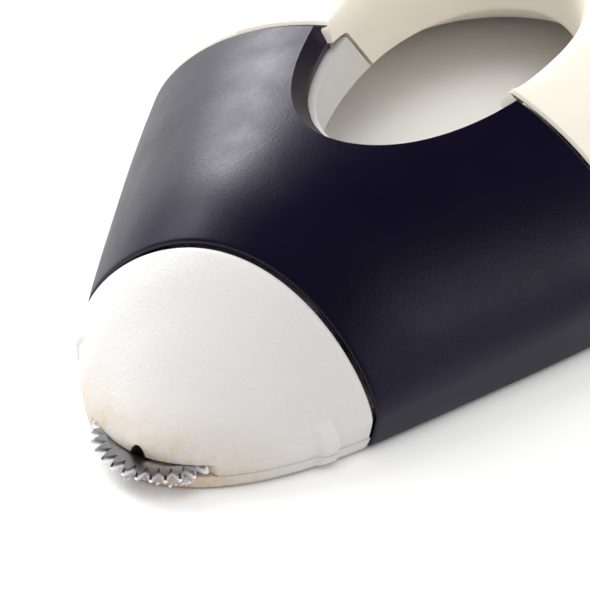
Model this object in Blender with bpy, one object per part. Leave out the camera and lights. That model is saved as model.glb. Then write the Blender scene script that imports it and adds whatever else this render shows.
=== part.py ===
"""Hand-held chalk marking wheel with a finger hole, built as an assembly of separate solids.

All sizes below are in millimetres. A place along the tool is given as t, the distance behind the
tip of the nose, and the finished solids are written in metres with +Z up, the nose towards -Y,
and the origin at the middle of the footprint on the table.
"""
import math

import bmesh
import bpy
import numpy as np
from mathutils import Matrix, Vector

MM = 0.001
GAP = 0.3                    # clearance between neighbouring pieces

# --- outer form of the whole tool ---------------------------------------------------------
LENGTH = 92.0                # nose tip to tail
WIDEST_AT = 62.0             # where the plan is widest
HALF_WIDTH_AT = ((1.6, 5.1), (4.4, 8.4), (8.7, 11.6), (15.0, 14.8), (24.0, 18.6), (35.0, 23.0),
                 (48.0, 27.2), (WIDEST_AT, 29.4))
TAIL_SQUARENESS = 2.3        # superellipse exponent of the tail in plan
RIM_HEIGHT = 3.7             # top of the nose at its very tip
NOSE_SLOPE = 0.683           # rise of the nose, per millimetre back
DECK_HEIGHT = 17.1           # top of the body above the table
DECK_RISE = 0.034            # rise of the deck, per millimetre back
DECK_FROM = 32.0
NOSE_BLEND = 3.0             # softness of the bend between nose and deck
TAIL_DROP_AT = 56.0          # where the back starts to fall
TAIL_FALL = 2.5              # superellipse exponent of that fall
WAIST_HEIGHT = 2.4           # height of the widest line at the nose
WAIST_RISE = 0.04
CROWN_NOSE = 0.79            # how full the dome is: 0.5 is round, 1 is peaked
CROWN_BODY = 0.62
CROWN_BODY_AT = 54.0
BASE_TUCK = 0.7              # how far the flank turns in under the widest line

# --- joints between the colours -----------------------------------------------------------
SLEEVE_FRONT = 13.8          # white to navy, at SEAM_Z
SLEEVE_FRONT_LEAN = 0.137
SLEEVE_BACK = 39.1           # navy to cream, at SEAM_Z
SLEEVE_BACK_LEAN = 0.306
SEAM_Z = 4.35
SHELL_SPLIT = 4.6            # parting height of the two cream shells

# --- walls ----------------------------------------------------------------------------------
SHELL_WALL = 2.0
SLEEVE_WALL = 2.2
NOSE_WALL = 1.6
FLOOR = 2.2
LINER_WALL = 1.9

# --- finger hole ----------------------------------------------------------------------------
HOLE_AT = 50.0               # where the hole is widest
HOLE_HALF_WIDTH = 8.6
HOLE_FRONT = 18.5            # reach in front of HOLE_AT
HOLE_BACK = 14.0             # reach behind it
HOLE_ROLL = 4.2              # how far the top rim rolls outwards
HOLE_ROLL_FROM = 12.0
HOLE_ROLL_HEIGHT = 6.2
HOLE_FOOT = 2.6              # how far the bottom rim flares
HOLE_FOOT_HEIGHT = 5.0
UNDERCUT_FROM = 8.0          # below this the wall runs outwards beside and behind the finger
UNDERCUT_SLOPE = 1.15
UNDERCUT_TURN = (35.0, 60.0)  # degrees from the front over which the undercut starts
LIP_FROM = 14.6              # the sleeve's funnel starts here, at LIP_INSET
LIP_INSET = 0.9
LINER_BACK = 44.0            # end of the white liner, at LINER_BACK_Z
LINER_BACK_Z = 15.0
LINER_BACK_LEAN = -0.75

# --- wheel ------------------------------------------------------------------------------------
TEETH = 31
WHEEL_RADIUS = 6.0
TOOTH_DEPTH = 0.95
WHEEL_THICK = 0.9
WHEEL_AT = 3.8
WHEEL_Z = 2.05
AXLE_RADIUS = 0.6
AXLE_TOP = 3.7
AXLE_FOOT = 0.75
AXLE_BOSS_RADIUS = 1.5

# --- cartridge ------------------------------------------------------------------------------
HOPPER_FRONT = 12.2
HOPPER_BACK = 26.6
HOPPER_HALF_WIDTH = 5.0
HOPPER_FLOOR = 3.9
HOPPER_TOP = 8.2
HOPPER_WALL = 1.1
LID_THICK = 1.0
PLUG_RADIUS = 0.9
PLUG_HEAD = 0.8
CHALK_GAP = 0.4
NUB_AT = 9.6
NUB_LENGTH = 1.4
NUB_PROUD = 0.45
DISH_DEPTH = 0.55            # finger dish in the top of the nose
FELT_SIZE = (6.0, 1.4, 0.9)

# --- socket, spring and screws --------------------------------------------------------------
SOCKET_WALL = 1.2
SOCKET_FRONT = 16.5
SPRING_THICK = 0.35
SPRING_WIDTH = 4.0
SPRING_RISE = 0.9
SCREW_HEAD_RADIUS = 2.4
SCREW_HEAD = 0.85
SCREW_SUNK = 0.25            # depth of the heads below the underside
SCREW_SHANK_RADIUS = 1.1
BOSS_RADIUS = 2.6
SCREW_FRONT = (11.0, 24.0)   # x and t of the front pair
SCREW_BACK = (14.0, 76.0)
SCREW_FRONT_LENGTH = 7.0
SCREW_BACK_LENGTH = 9.0

# --- mesh fineness --------------------------------------------------------------------------
DOME_STEPS = 20
TUCK_STEPS = 3
STATIONS = 24
HOLE_STEPS = 36
ROUND_STEPS = 20

INNER_REACH = {"start": 8.0, "end": 66.0}    # stretch that the inner forms of the sleeve need
OVERHANG = WHEEL_RADIUS - WHEEL_AT
MIDDLE = (LENGTH - OVERHANG) / 2

COLOURS = {
    "cream": ((0.95, 0.88, 0.78), 0.38, 0.0),
    "navy": ((0.012, 0.008, 0.035), 0.36, 0.0),
    "white": ((0.88, 0.86, 0.85), 0.45, 0.0),
    "steel": ((0.62, 0.62, 0.63), 0.28, 1.0),
    "chalk": ((0.90, 0.90, 0.92), 0.95, 0.0),
    "felt": ((0.80, 0.78, 0.74), 1.0, 0.0),
}


# --- the form ---------------------------------------------------------------------------------
def smooth_curve(knots, values, at):
    """Cubic through the knots: straight at the first end, level at the last."""
    n = len(knots)
    step = np.diff(knots)
    slope = np.diff(values) / step
    rows = np.zeros((n, n))
    right = np.zeros(n)
    rows[0, 0] = 1.0
    for i in range(1, n - 1):
        rows[i, i - 1:i + 2] = step[i - 1], 2 * (step[i - 1] + step[i]), step[i]
        right[i] = 6 * (slope[i] - slope[i - 1])
    rows[-1, -2:] = step[-1], 2 * step[-1]
    right[-1] = -6 * slope[-1]
    bend = np.linalg.solve(rows, right)
    k = np.clip(np.searchsorted(knots, at, side="right") - 1, 0, n - 2)
    a = at - knots[k]
    b = knots[k + 1] - at
    cubic = (bend[k] * b ** 3 + bend[k + 1] * a ** 3) / (6 * step[k])
    lower = (values[k] / step[k] - bend[k] * step[k] / 6) * b
    upper = (values[k + 1] / step[k] - bend[k + 1] * step[k] / 6) * a
    return cubic + lower + upper


def half_width(t):
    """Half the width of the plan: a cubic in the square root of t, then a superellipse tail."""
    knots = np.sqrt(np.array([0.0] + [k for k, _ in HALF_WIDTH_AT]))
    values = np.array([0.0] + [w for _, w in HALF_WIDTH_AT])
    front = smooth_curve(knots, values, np.sqrt(np.clip(t, 0.0, WIDEST_AT)))
    tail = np.clip((t - WIDEST_AT) / (LENGTH - WIDEST_AT), 0.0, 1.0)
    return front * (1 - tail ** TAIL_SQUARENESS) ** (1 / TAIL_SQUARENESS)


def soft_min(a, b, softness):
    return (a + b - np.sqrt((a - b) ** 2 + softness ** 2)) / 2


def waist(t):
    """Height of the widest line above the table."""
    return WAIST_HEIGHT + WAIST_RISE * t


def top(t):
    """Height of the middle line: the nose ramp bends into the deck, and the back falls away."""
    nose = RIM_HEIGHT + NOSE_SLOPE * t
    deck = DECK_HEIGHT + DECK_RISE * (t - DECK_FROM)
    fall = np.clip((t - TAIL_DROP_AT) / (LENGTH - TAIL_DROP_AT), 0.0, 1.0)
    shape = (1 - fall ** TAIL_FALL) ** (1 / TAIL_FALL)
    return waist(t) + (soft_min(nose, deck, NOSE_BLEND) - waist(t)) * shape


def dome_height(t, x):
    """Height of the outside at a place on the dome."""
    crown = CROWN_NOSE + (CROWN_BODY - CROWN_NOSE) * min(t / CROWN_BODY_AT, 1.0)
    across = min(abs(x) / float(half_width(t)), 1.0)
    return float(waist(t) + (top(t) - waist(t)) * (1 - across ** 2) ** crown)


def roof_over(t, x, radius):
    """Lowest height of the outside over a round column."""
    turn = np.linspace(0, 2 * math.pi, 12, endpoint=False)
    return min(dome_height(t + radius * math.cos(a), x + radius * math.sin(a)) for a in turn)


def dish(t, x):
    """Depth of the shallow finger dish pressed into the top of the nose."""
    along = (t - 7.5) / 5.0
    across = x / 8.0
    return DISH_DEPTH * np.exp(-((along ** 2 + across ** 2) ** 2))


def ring_angles():
    """Angles of one section: over the dome from left to right, then the two lower corners."""
    dome = np.linspace(-90.0, 90.0, DOME_STEPS + 1)
    corner = np.linspace(0.0, 90.0, TUCK_STEPS + 1)[1:]
    return np.radians(dome), np.radians(corner)


def section(t):
    """One closed section as an (n, 3) array of x, t, z, clockwise seen from the nose."""
    dome, corner = ring_angles()
    w = float(half_width(t))
    crown = CROWN_NOSE + (CROWN_BODY - CROWN_NOSE) * min(t / CROWN_BODY_AT, 1.0)
    x = w * np.sin(dome)
    z = waist(t) + (top(t) - waist(t)) * np.clip(np.cos(dome), 0, 1) ** (2 * crown)
    z = z - dish(t, x)
    tuck = min(BASE_TUCK, 0.8 * w)
    low_x = w - tuck * (1 - np.cos(corner))
    low_z = waist(t) * (1 - np.sin(corner))
    xs = np.concatenate([x, low_x, [0.0], -low_x[::-1]])
    zs = np.concatenate([z, low_z, [0.0], low_z[::-1]])
    return np.stack([xs, np.full_like(xs, t), zs], axis=1)


def stations(start, end, count):
    """Places along the tool, closer together at the nose and at the tail."""
    low, high = math.acos(1 - 2 * start / LENGTH), math.acos(1 - 2 * end / LENGTH)
    return (1 - np.cos(np.linspace(low, high, count))) * LENGTH / 2


def body_rings(start=0.02, end=LENGTH - 0.02, count=STATIONS):
    """Sections of the outer form."""
    return np.stack([section(t) for t in stations(start, end, count)])


def grade(curve, t):
    """Length of a curve per millimetre along the tool."""
    step = 0.05
    return math.hypot(1.0, float(curve(t + step) - curve(t - step)) / (2 * step))


def inner_rings(inset, floor, start, end, count=STATIONS):
    """Sections of the space inside a wall of thickness inset, with straight sides to a floor."""
    dome, _ = ring_angles()
    rings = []
    for t in stations(start, end, count):
        w = float(half_width(t)) - inset * grade(half_width, t)
        peak = float(top(t)) - inset * grade(top, t)
        crown = CROWN_NOSE + (CROWN_BODY - CROWN_NOSE) * min(t / CROWN_BODY_AT, 1.0)
        x = w * np.sin(dome)
        z = waist(t) + (peak - waist(t)) * np.clip(np.cos(dome), 0, 1) ** (2 * crown)
        xs = np.concatenate([x, [w, -w]])
        zs = np.concatenate([z - dish(t, x), [floor, floor]])
        rings.append(np.stack([xs, np.full_like(xs, t), zs], axis=1))
    return np.stack(rings)


# --- mesh tools -------------------------------------------------------------------------------
def to_world(points):
    """Millimetres x, t, z to metres in the tool's frame."""
    return (np.asarray(points, dtype=float) - [0.0, MIDDLE, 0.0]) * MM


def new_object(name, mesh):
    obj = bpy.data.objects.new(name, mesh)
    bpy.context.scene.collection.objects.link(obj)
    return obj


def from_bmesh(name, bm):
    bmesh.ops.remove_doubles(bm, verts=bm.verts, dist=2e-6)
    bmesh.ops.dissolve_degenerate(bm, edges=bm.edges, dist=1e-7)
    if bm.calc_volume(signed=True) < 0:
        bmesh.ops.reverse_faces(bm, faces=bm.faces)
    mesh = bpy.data.meshes.new(name)
    bm.to_mesh(mesh)
    bm.free()
    return new_object(name, mesh)


def loft(name, rings):
    """Closed solid through equal rings, with flat ends."""
    bm = bmesh.new()
    rows = [[bm.verts.new(p) for p in to_world(ring)] for ring in rings]
    n = len(rows[0])
    for a, b in zip(rows, rows[1:]):
        for i in range(n):
            j = (i + 1) % n
            bm.faces.new((a[i], a[j], b[j], b[i]))
    bm.faces.new(rows[0][::-1])
    bm.faces.new(rows[-1])
    bmesh.ops.triangulate(bm, faces=bm.faces)
    return from_bmesh(name, bm)


def box(name, x, t, z):
    """Box between two x, two t and two z values."""
    corners = [(x[0], z[0]), (x[1], z[0]), (x[1], z[1]), (x[0], z[1])]
    return loft(name, [[(cx, place, cz) for cx, cz in corners] for place in t])


def cylinder(name, at, z, radius, steps=ROUND_STEPS):
    """Upright cylinder at (x, t)."""
    turn = np.linspace(0, 2 * math.pi, steps, endpoint=False)
    ring = [(at[0] + radius * math.cos(a), at[1] + radius * math.sin(a)) for a in turn]
    return loft(name, [[(x, t, height) for x, t in ring] for height in z])


def prism(name, outline, z):
    """Upright prism of an outline of (x, t) points."""
    return loft(name, [[(x, t, height) for x, t in outline] for height in z])


def combine(target, other, operation, keep=False):
    """Boolean on the target; the other solid is used up unless kept."""
    tool = target.modifiers.new(operation.lower(), "BOOLEAN")
    tool.operation = operation
    tool.solver = "EXACT"
    tool.object = other
    graph = bpy.context.evaluated_depsgraph_get()
    mesh = bpy.data.meshes.new_from_object(target.evaluated_get(graph))
    target.modifiers.clear()
    old = target.data
    target.data = mesh
    bpy.data.meshes.remove(old)
    if not keep:
        discard(other)
    return target


def cut(target, other, keep=False):
    return combine(target, other, "DIFFERENCE", keep)


def join(target, other, keep=False):
    return combine(target, other, "UNION", keep)


def common(target, other, keep=False):
    return combine(target, other, "INTERSECT", keep)


def copy_of(obj, name):
    other = new_object(name, obj.data.copy())
    return other


def discard(obj):
    mesh = obj.data
    bpy.data.objects.remove(obj, do_unlink=True)
    bpy.data.meshes.remove(mesh)


def slab(name, front, front_lean, back, back_lean, z=(-2.0, 40.0), reference=SEAM_Z):
    """Block between two leaning planes, t = place + lean * (z - reference)."""
    rings = []
    for x in (-45.0, 45.0):
        ring = [(x, front + front_lean * (z[0] - reference), z[0]),
                (x, front + front_lean * (z[1] - reference), z[1]),
                (x, back + back_lean * (z[1] - reference), z[1]),
                (x, back + back_lean * (z[0] - reference), z[0])]
        rings.append(ring)
    return loft(name, rings)


# --- finger hole ------------------------------------------------------------------------------
def hole_flare(z):
    """How far the cream rim rolls outwards at a height, above and below its narrowest part."""
    up = min(max((z - HOLE_ROLL_FROM) / HOLE_ROLL_HEIGHT, 0.0), 1.0)
    down = min(max((HOLE_FOOT_HEIGHT - z) / HOLE_FOOT_HEIGHT, 0.0), 1.0)
    return HOLE_ROLL * (1 - math.sqrt(1 - up * up)) + HOLE_FOOT * (1 - math.sqrt(1 - down * down))


def lip_flare(z):
    """The sleeve's funnel: straight at 45 degrees above LIP_FROM."""
    return max(hole_flare(min(z, HOLE_ROLL_FROM)), LIP_INSET + max(z - LIP_FROM, 0.0))


def hole_outline(extra, z):
    """Egg outline of the hole at a height, widened by extra and by the undercut."""
    turn = np.linspace(0, 2 * math.pi, HOLE_STEPS, endpoint=False)
    start, end = UNDERCUT_TURN
    side = np.clip((np.degrees(np.minimum(turn, 2 * math.pi - turn)) - start) / (end - start), 0, 1)
    extra = extra + side * UNDERCUT_SLOPE * max(UNDERCUT_FROM - max(z, 0.0), 0.0)
    reach = np.where(np.cos(turn) > 0, HOLE_FRONT, HOLE_BACK) + extra
    x = (HOLE_HALF_WIDTH + extra) * np.sin(turn)
    t = HOLE_AT - reach * np.cos(turn)
    return np.stack([x, t, np.full_like(x, z)], axis=1)


def hole_solid(name, flare, wider=0.0):
    """The hole as a solid, from below the table to above the deck."""
    heights = [-1.0, 0.0, 1.0, 2.6, HOLE_FOOT_HEIGHT, UNDERCUT_FROM, HOLE_ROLL_FROM, 13.4, LIP_FROM,
               15.8, 17.0, 18.1, 24.0]
    return loft(name, [hole_outline(flare(max(z, 0.0)) + wider, z) for z in heights])


# --- materials and finishing ------------------------------------------------------------------
def material(name):
    if name in bpy.data.materials:
        return bpy.data.materials[name]
    colour, roughness, metallic = COLOURS[name]
    made = bpy.data.materials.new(name)
    made.use_nodes = True
    shader = made.node_tree.nodes["Principled BSDF"]
    shader.inputs["Base Color"].default_value = (*colour, 1.0)
    shader.inputs["Roughness"].default_value = roughness
    shader.inputs["Metallic"].default_value = metallic
    return made


def finish(obj, name, colour, pivot=None):
    """Name the piece, give it its colour, and put its origin on its joint's axis."""
    obj.name = name
    obj.data.name = name
    bm = bmesh.new()
    bm.from_mesh(obj.data)
    bmesh.ops.triangulate(bm, faces=bm.faces)
    bm.to_mesh(obj.data)
    bm.free()
    if pivot is not None:
        place = Vector(to_world(pivot))
        obj.data.transform(Matrix.Translation(-place))
        obj.location = place
    obj.data.shade_smooth()
    obj.data.set_sharp_from_angle(angle=math.radians(35))
    obj.data.materials.clear()
    obj.data.materials.append(material(colour))
    return obj


# --- fixed pieces -----------------------------------------------------------------------------
def screw_places():
    front = [(side * SCREW_FRONT[0], SCREW_FRONT[1]) for side in (-1, 1)]
    back = [(side * SCREW_BACK[0], SCREW_BACK[1]) for side in (-1, 1)]
    return front, back


def shell_body(hole):
    """The cream body as one hollow solid, with a wall round the finger hole."""
    body = loft("body", body_rings())
    hollow = loft("hollow", inner_rings(SHELL_WALL, SHELL_WALL, 6.0, LENGTH - 3.4))
    cut(hollow, hole_solid("hole_wall", hole_flare, wider=SHELL_WALL))
    cut(body, hollow)
    return cut(body, hole, keep=True)


def liner_space(name, clearance):
    """The block that the white liner takes out of the hole's wall."""
    space = hole_solid(name, hole_flare, wider=LINER_WALL + clearance)
    back = LINER_BACK + clearance * 1.4
    block = slab("liner_block", 20.0, 0.0, back, LINER_BACK_LEAN, reference=LINER_BACK_Z)
    return common(space, block)


def upper_shell(body):
    shell = copy_of(body, "upper")
    block = slab("upper_block", SLEEVE_BACK + GAP / 2, SLEEVE_BACK_LEAN, LENGTH + 4, 0.0,
                 z=(SHELL_SPLIT + GAP / 2, 40.0))
    common(shell, block)
    cut(shell, liner_space("upper_liner", GAP))
    _, back = screw_places()
    for x, t in back:
        roof = roof_over(t, x, BOSS_RADIUS) - 0.6
        join(shell, cylinder("boss", (x, t), (SHELL_SPLIT + 0.5, roof), BOSS_RADIUS))
        depth = FLOOR + SCREW_BACK_LENGTH + GAP
        cut(shell, cylinder("boss_hole", (x, t), (0.0, depth), SCREW_SHANK_RADIUS + GAP))
    return finish(shell, "upper_shell", "cream")


def screw_hole(place, top_at):
    """Counterbored hole as one turned cutter, from below the table up to top_at."""
    wide = SCREW_HEAD_RADIUS + GAP
    narrow = SCREW_SHANK_RADIUS + GAP
    shoulder = SCREW_SUNK + SCREW_HEAD + GAP
    turn = np.linspace(0, 2 * math.pi, ROUND_STEPS, endpoint=False) + 0.05
    levels = ((-1.0, wide), (shoulder, wide), (shoulder + 0.001, narrow), (top_at, narrow))
    return loft("screw_hole", [[(place[0] + r * math.cos(a), place[1] + r * math.sin(a), z)
                                for a in turn] for z, r in levels])


def lower_shell(body, hole):
    shell = copy_of(body, "lower")
    block = slab("lower_block", SLEEVE_BACK + GAP / 2, SLEEVE_BACK_LEAN, LENGTH + 4, 0.0,
                 z=(-2.0, SHELL_SPLIT - GAP / 2))
    common(shell, block)
    inner = SLEEVE_WALL + GAP
    plate = loft("plate", inner_rings(inner, 0.0, **INNER_REACH))
    zone = slab("plate_zone", SLEEVE_FRONT + 1.2, 0.0, SLEEVE_BACK + 3.0, 0.0, z=(-2.0, FLOOR))
    common(plate, zone)
    cut(plate, hole, keep=True)
    liner = liner_space("lower_liner", GAP)
    cut(plate, liner, keep=True)
    cut(shell, liner)
    join(shell, plate)
    front, back = screw_places()
    for place in front + back:
        cut(shell, screw_hole(place, 9.0))
    return finish(shell, "lower_shell", "cream")


def grip_sleeve():
    sleeve = loft("sleeve", body_rings())
    cut(sleeve, loft("sleeve_inside", inner_rings(SLEEVE_WALL, -5.0, **INNER_REACH)))
    common(sleeve, slab("sleeve_zone", SLEEVE_FRONT + GAP / 2, SLEEVE_FRONT_LEAN,
                        SLEEVE_BACK - GAP / 2, SLEEVE_BACK_LEAN))
    cut(sleeve, hole_solid("lip", lip_flare))
    return finish(sleeve, "grip_sleeve", "navy")


def hole_liner(hole):
    """White front wall of the finger hole, standing on the floor plate under the sleeve's lip."""
    liner = liner_space("liner", 0.0)
    inside = SLEEVE_WALL + GAP
    common(liner, loft("liner_limit", inner_rings(inside, 0.0, **INNER_REACH)))
    block = slab("liner_height", 20.0, 0.0, 70.0, 0.0, z=(0.0, 30.0))
    common(liner, block)
    cut(liner, hole, keep=True)
    return finish(liner, "hole_liner", "white")


def cartridge_socket():
    """Box that guides the hopper, standing on the floor plate, with ears for the front screws."""
    half = HOPPER_HALF_WIDTH + GAP
    outer = half + SOCKET_WALL
    low = FLOOR + GAP
    high = HOPPER_TOP + GAP + SOCKET_WALL
    back = HOLE_AT - HOLE_FRONT - LINER_WALL - GAP
    socket = box("socket", (-outer, outer), (SOCKET_FRONT, back), (low, high))
    ear = SCREW_FRONT[0] + BOSS_RADIUS
    join(socket, box("ears", (-ear, ear), (SCREW_FRONT[1] - BOSS_RADIUS,
                                           SCREW_FRONT[1] + BOSS_RADIUS), (low + 0.6, low + 4.2)))
    common(socket, loft("socket_limit", inner_rings(SLEEVE_WALL + GAP, 0.0, **INNER_REACH)))
    cut(socket, box("socket_bore", (-half, half), (SOCKET_FRONT - 1, back - SOCKET_WALL),
                    (HOPPER_FLOOR - GAP, HOPPER_TOP + GAP)))
    cut(socket, box("spring_window", (-SPRING_WIDTH / 2 - GAP, SPRING_WIDTH / 2 + GAP),
                    (SOCKET_FRONT + 1.2, back - SOCKET_WALL - 1.2), (low - 1, HOPPER_FLOOR)))
    cut(socket, hole_solid("socket_hole", hole_flare, wider=LINER_WALL + GAP))
    front, _ = screw_places()
    for x, t in front:
        cut(socket, cylinder("ear_hole", (x, t), (0.0, FLOOR + SCREW_FRONT_LENGTH + 2),
                             SCREW_SHANK_RADIUS + GAP))
    return finish(socket, "cartridge_socket", "white")


def detent_spring():
    """Leaf that lies in the socket's floor and arches up into the hopper's notch."""
    start = SOCKET_FRONT + 1.2 + GAP
    end = HOLE_AT - HOLE_FRONT - LINER_WALL - GAP - SOCKET_WALL - 1.2 - GAP
    low = FLOOR + GAP
    outline = []
    for place in np.linspace(start, end, 17):
        across = (place - (start + end) / 2) / ((end - start) / 2)
        outline.append((place, low + SPRING_RISE * math.exp(-(across / 0.33) ** 2)))
    ring = [(t, z) for t, z in outline] + [(t, z + SPRING_THICK) for t, z in outline[::-1]]
    half = SPRING_WIDTH / 2
    leaf = loft("leaf", [[(x, t, z) for t, z in ring] for x in (-half, half)])
    return finish(leaf, "detent_spring", "steel")


def case_screw(name, place, length):
    """Pan-head screw, cross slot down, that holds the case together from below."""
    head_top = SCREW_SUNK + SCREW_HEAD
    screw = cylinder("screw", place, (SCREW_SUNK, head_top), SCREW_HEAD_RADIUS)
    join(screw, cylinder("shank", place, (SCREW_SUNK + 0.4, FLOOR + length), SCREW_SHANK_RADIUS,
                         steps=16))
    for long, wide in ((1.5, 0.35), (0.35, 1.5)):
        cut(screw, box("slot", (place[0] - long, place[0] + long),
                       (place[1] - wide, place[1] + wide), (-1.0, SCREW_SUNK + 0.35)))
    return finish(screw, name, "steel")


def case_screws():
    front, back = screw_places()
    for side, place in zip(("left", "right"), front):
        case_screw(f"screw_front_{side}", place, SCREW_FRONT_LENGTH)
    for side, place in zip(("left", "right"), back):
        case_screw(f"screw_back_{side}", place, SCREW_BACK_LENGTH)


# --- cartridge --------------------------------------------------------------------------------
def nose_zone(name, z):
    return slab(name, -5.0, 0.0, SLEEVE_FRONT - GAP / 2, SLEEVE_FRONT_LEAN, z=z)


def nub(side):
    """Small upright rib on the flank that gives the fingers a hold."""
    width = float(half_width(NUB_AT))
    outer = side * (width + NUB_PROUD)
    inner = side * (width - 1.2)
    xs = (min(outer, inner), max(outer, inner))
    return box("nub", xs, (NUB_AT - NUB_LENGTH / 2, NUB_AT + NUB_LENGTH / 2), (0.4, 5.0))


def parting_heights():
    """Underside of the nose cover and top of the nose base, which carries the wheel."""
    base = WHEEL_Z - WHEEL_THICK / 2 - GAP
    return base + GAP, base


def nose_cover():
    low, _ = parting_heights()
    cover = loft("cover", body_rings(end=40.0))
    for side in (-1, 1):
        join(cover, nub(side))
    common(cover, nose_zone("cover_zone", (low, 40.0)))
    cavity = loft("cover_inside", inner_rings(NOSE_WALL, -5.0, 4.5, 40.0))
    cut(cover, cavity)
    pocket_top = WHEEL_Z + WHEEL_THICK / 2 + GAP
    cut(cover, cylinder("wheel_pocket", (0.0, WHEEL_AT), (-1.0, pocket_top), WHEEL_RADIUS + GAP,
                        steps=48))
    boss_top = roof_over(WHEEL_AT, 0.0, AXLE_BOSS_RADIUS) - 0.5
    join(cover, cylinder("axle_boss", (0.0, WHEEL_AT), (pocket_top, boss_top), AXLE_BOSS_RADIUS))
    cut(cover, cylinder("axle_hole", (0.0, WHEEL_AT), (0.0, AXLE_TOP + GAP), AXLE_RADIUS + GAP))
    return finish(cover, "nose_cover", "white")


def nose_base():
    _, high = parting_heights()
    base = loft("base", body_rings(end=40.0))
    for side in (-1, 1):
        join(base, nub(side))
    common(base, nose_zone("base_zone", (-2.0, high)))
    half = HOPPER_HALF_WIDTH
    rise = HOPPER_TOP - LID_THICK - GAP
    join(base, box("tongue", (-half, half), (HOPPER_FRONT, HOPPER_BACK), (HOPPER_FLOOR, rise)))
    join(base, box("riser", (-half, half), (HOPPER_FRONT, SLEEVE_FRONT - 0.6), (1.0, rise)))
    inner = half - HOPPER_WALL
    cut(base, box("hopper", (-inner, inner), (HOPPER_FRONT + HOPPER_WALL, HOPPER_BACK - HOPPER_WALL),
                  (HOPPER_FLOOR + HOPPER_WALL, 12.0)))
    cut(base, cylinder("axle_seat", (0.0, WHEEL_AT), (AXLE_FOOT - GAP, 3.0), AXLE_RADIUS + GAP))
    notch_at = (SOCKET_FRONT + 1.2 + HOLE_AT - HOLE_FRONT - LINER_WALL - GAP - SOCKET_WALL - 1.2) / 2
    cut(base, box("notch", (-SPRING_WIDTH / 2 - GAP, SPRING_WIDTH / 2 + GAP),
                  (notch_at - 2.2, notch_at + 2.2), (HOPPER_FLOOR - 1, HOPPER_FLOOR + 0.5)))
    turn = np.linspace(0, 2 * math.pi, 16, endpoint=False)
    middle = (HOPPER_FLOOR + HOPPER_TOP - LID_THICK) / 2 + 0.2
    rings = [[((PLUG_RADIUS + GAP) * math.cos(a), t, middle + (PLUG_RADIUS + GAP) * math.sin(a))
              for a in turn] for t in (HOPPER_BACK - 3.0, HOPPER_BACK + 1.0)]
    cut(base, loft("plug_hole", rings))
    return finish(base, "nose_base", "white")


def hopper_lid():
    half = HOPPER_HALF_WIDTH
    lid = box("lid", (-half, half), (HOPPER_FRONT + 0.4, HOPPER_BACK - 0.2),
              (HOPPER_TOP - LID_THICK, HOPPER_TOP))
    return finish(lid, "hopper_lid", "white")


def filler_plug():
    """Push-in plug in the hopper's back wall."""
    middle = (HOPPER_FLOOR + HOPPER_TOP - LID_THICK) / 2 + 0.2
    turn = np.linspace(0, 2 * math.pi, 20, endpoint=False)
    steps = ((HOPPER_BACK - 2.0, PLUG_RADIUS - 0.15), (HOPPER_BACK - 1.6, PLUG_RADIUS),
             (HOPPER_BACK + 0.25, PLUG_RADIUS), (HOPPER_BACK + 0.26, PLUG_RADIUS + 0.6),
             (HOPPER_BACK + 0.26 + PLUG_HEAD * 0.6, PLUG_RADIUS + 0.6))
    rings = [[(r * math.cos(a), t, middle + r * math.sin(a)) for a in turn] for t, r in steps]
    return finish(loft("plug", rings), "filler_plug", "white")


def chalk_fill():
    half = HOPPER_HALF_WIDTH - HOPPER_WALL - CHALK_GAP
    fill = box("chalk", (-half, half),
               (HOPPER_FRONT + HOPPER_WALL + 1.2, HOPPER_BACK - HOPPER_WALL - 1.4),
               (HOPPER_FLOOR + HOPPER_WALL + CHALK_GAP, HOPPER_TOP - LID_THICK - 0.7))
    return finish(fill, "chalk_fill", "chalk")


def felt_wiper():
    """Felt strip that brushes the back of the wheel."""
    width, depth, height = FELT_SIZE
    start = WHEEL_AT + WHEEL_RADIUS + GAP
    low = WHEEL_Z - WHEEL_THICK / 2
    strip = box("felt", (-width / 2, width / 2), (start, start + depth), (low, low + height))
    return finish(strip, "felt_wiper", "felt")


def wheel_axle():
    pin = cylinder("axle", (0.0, WHEEL_AT), (AXLE_FOOT, AXLE_TOP), AXLE_RADIUS, steps=20)
    return finish(pin, "wheel_axle", "steel")


def chalk_wheel():
    """Toothed disc: each tooth is a triangle, thinner at its tip than at its root."""
    low = WHEEL_Z - WHEEL_THICK / 2
    turn = 2 * math.pi / TEETH
    root = WHEEL_RADIUS - TOOTH_DEPTH

    def outline(tip, z):
        points = []
        for i in range(TEETH):
            for part, radius in ((-0.5, root), (-0.12, tip), (0.12, tip)):
                angle = (i + part) * turn - math.pi / 2
                points.append((radius * math.cos(angle), WHEEL_AT + radius * math.sin(angle), z))
        return points

    bevel = WHEEL_THICK * 0.3
    wheel = loft("wheel", [outline(WHEEL_RADIUS - 0.3, low), outline(WHEEL_RADIUS, low + bevel),
                           outline(WHEEL_RADIUS, low + WHEEL_THICK - bevel),
                           outline(WHEEL_RADIUS - 0.3, low + WHEEL_THICK)])
    cut(wheel, cylinder("bore", (0.0, WHEEL_AT), (0.0, 8.0), AXLE_RADIUS + GAP, steps=24))
    return finish(wheel, "chalk_wheel", "steel", pivot=(0.0, WHEEL_AT, WHEEL_Z))


def main():
    for obj in list(bpy.data.objects):
        bpy.data.objects.remove(obj, do_unlink=True)
    hole = hole_solid("hole", hole_flare)
    body = shell_body(hole)
    upper_shell(body)
    lower_shell(body, hole)
    discard(body)
    grip_sleeve()
    hole_liner(hole)
    cartridge_socket()
    detent_spring()
    case_screws()
    nose_cover()
    nose_base()
    hopper_lid()
    filler_plug()
    chalk_fill()
    felt_wiper()
    wheel_axle()
    chalk_wheel()
    discard(hole)


main()
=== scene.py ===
"""Chalk marking wheel with a finger hole: its finished look, in the frame of its CAD model.

Lengths in the form functions are millimetres: t is the distance behind the tip of the nose, x is
across and z is up. Points are turned into metres when a mesh is made.
"""

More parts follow.
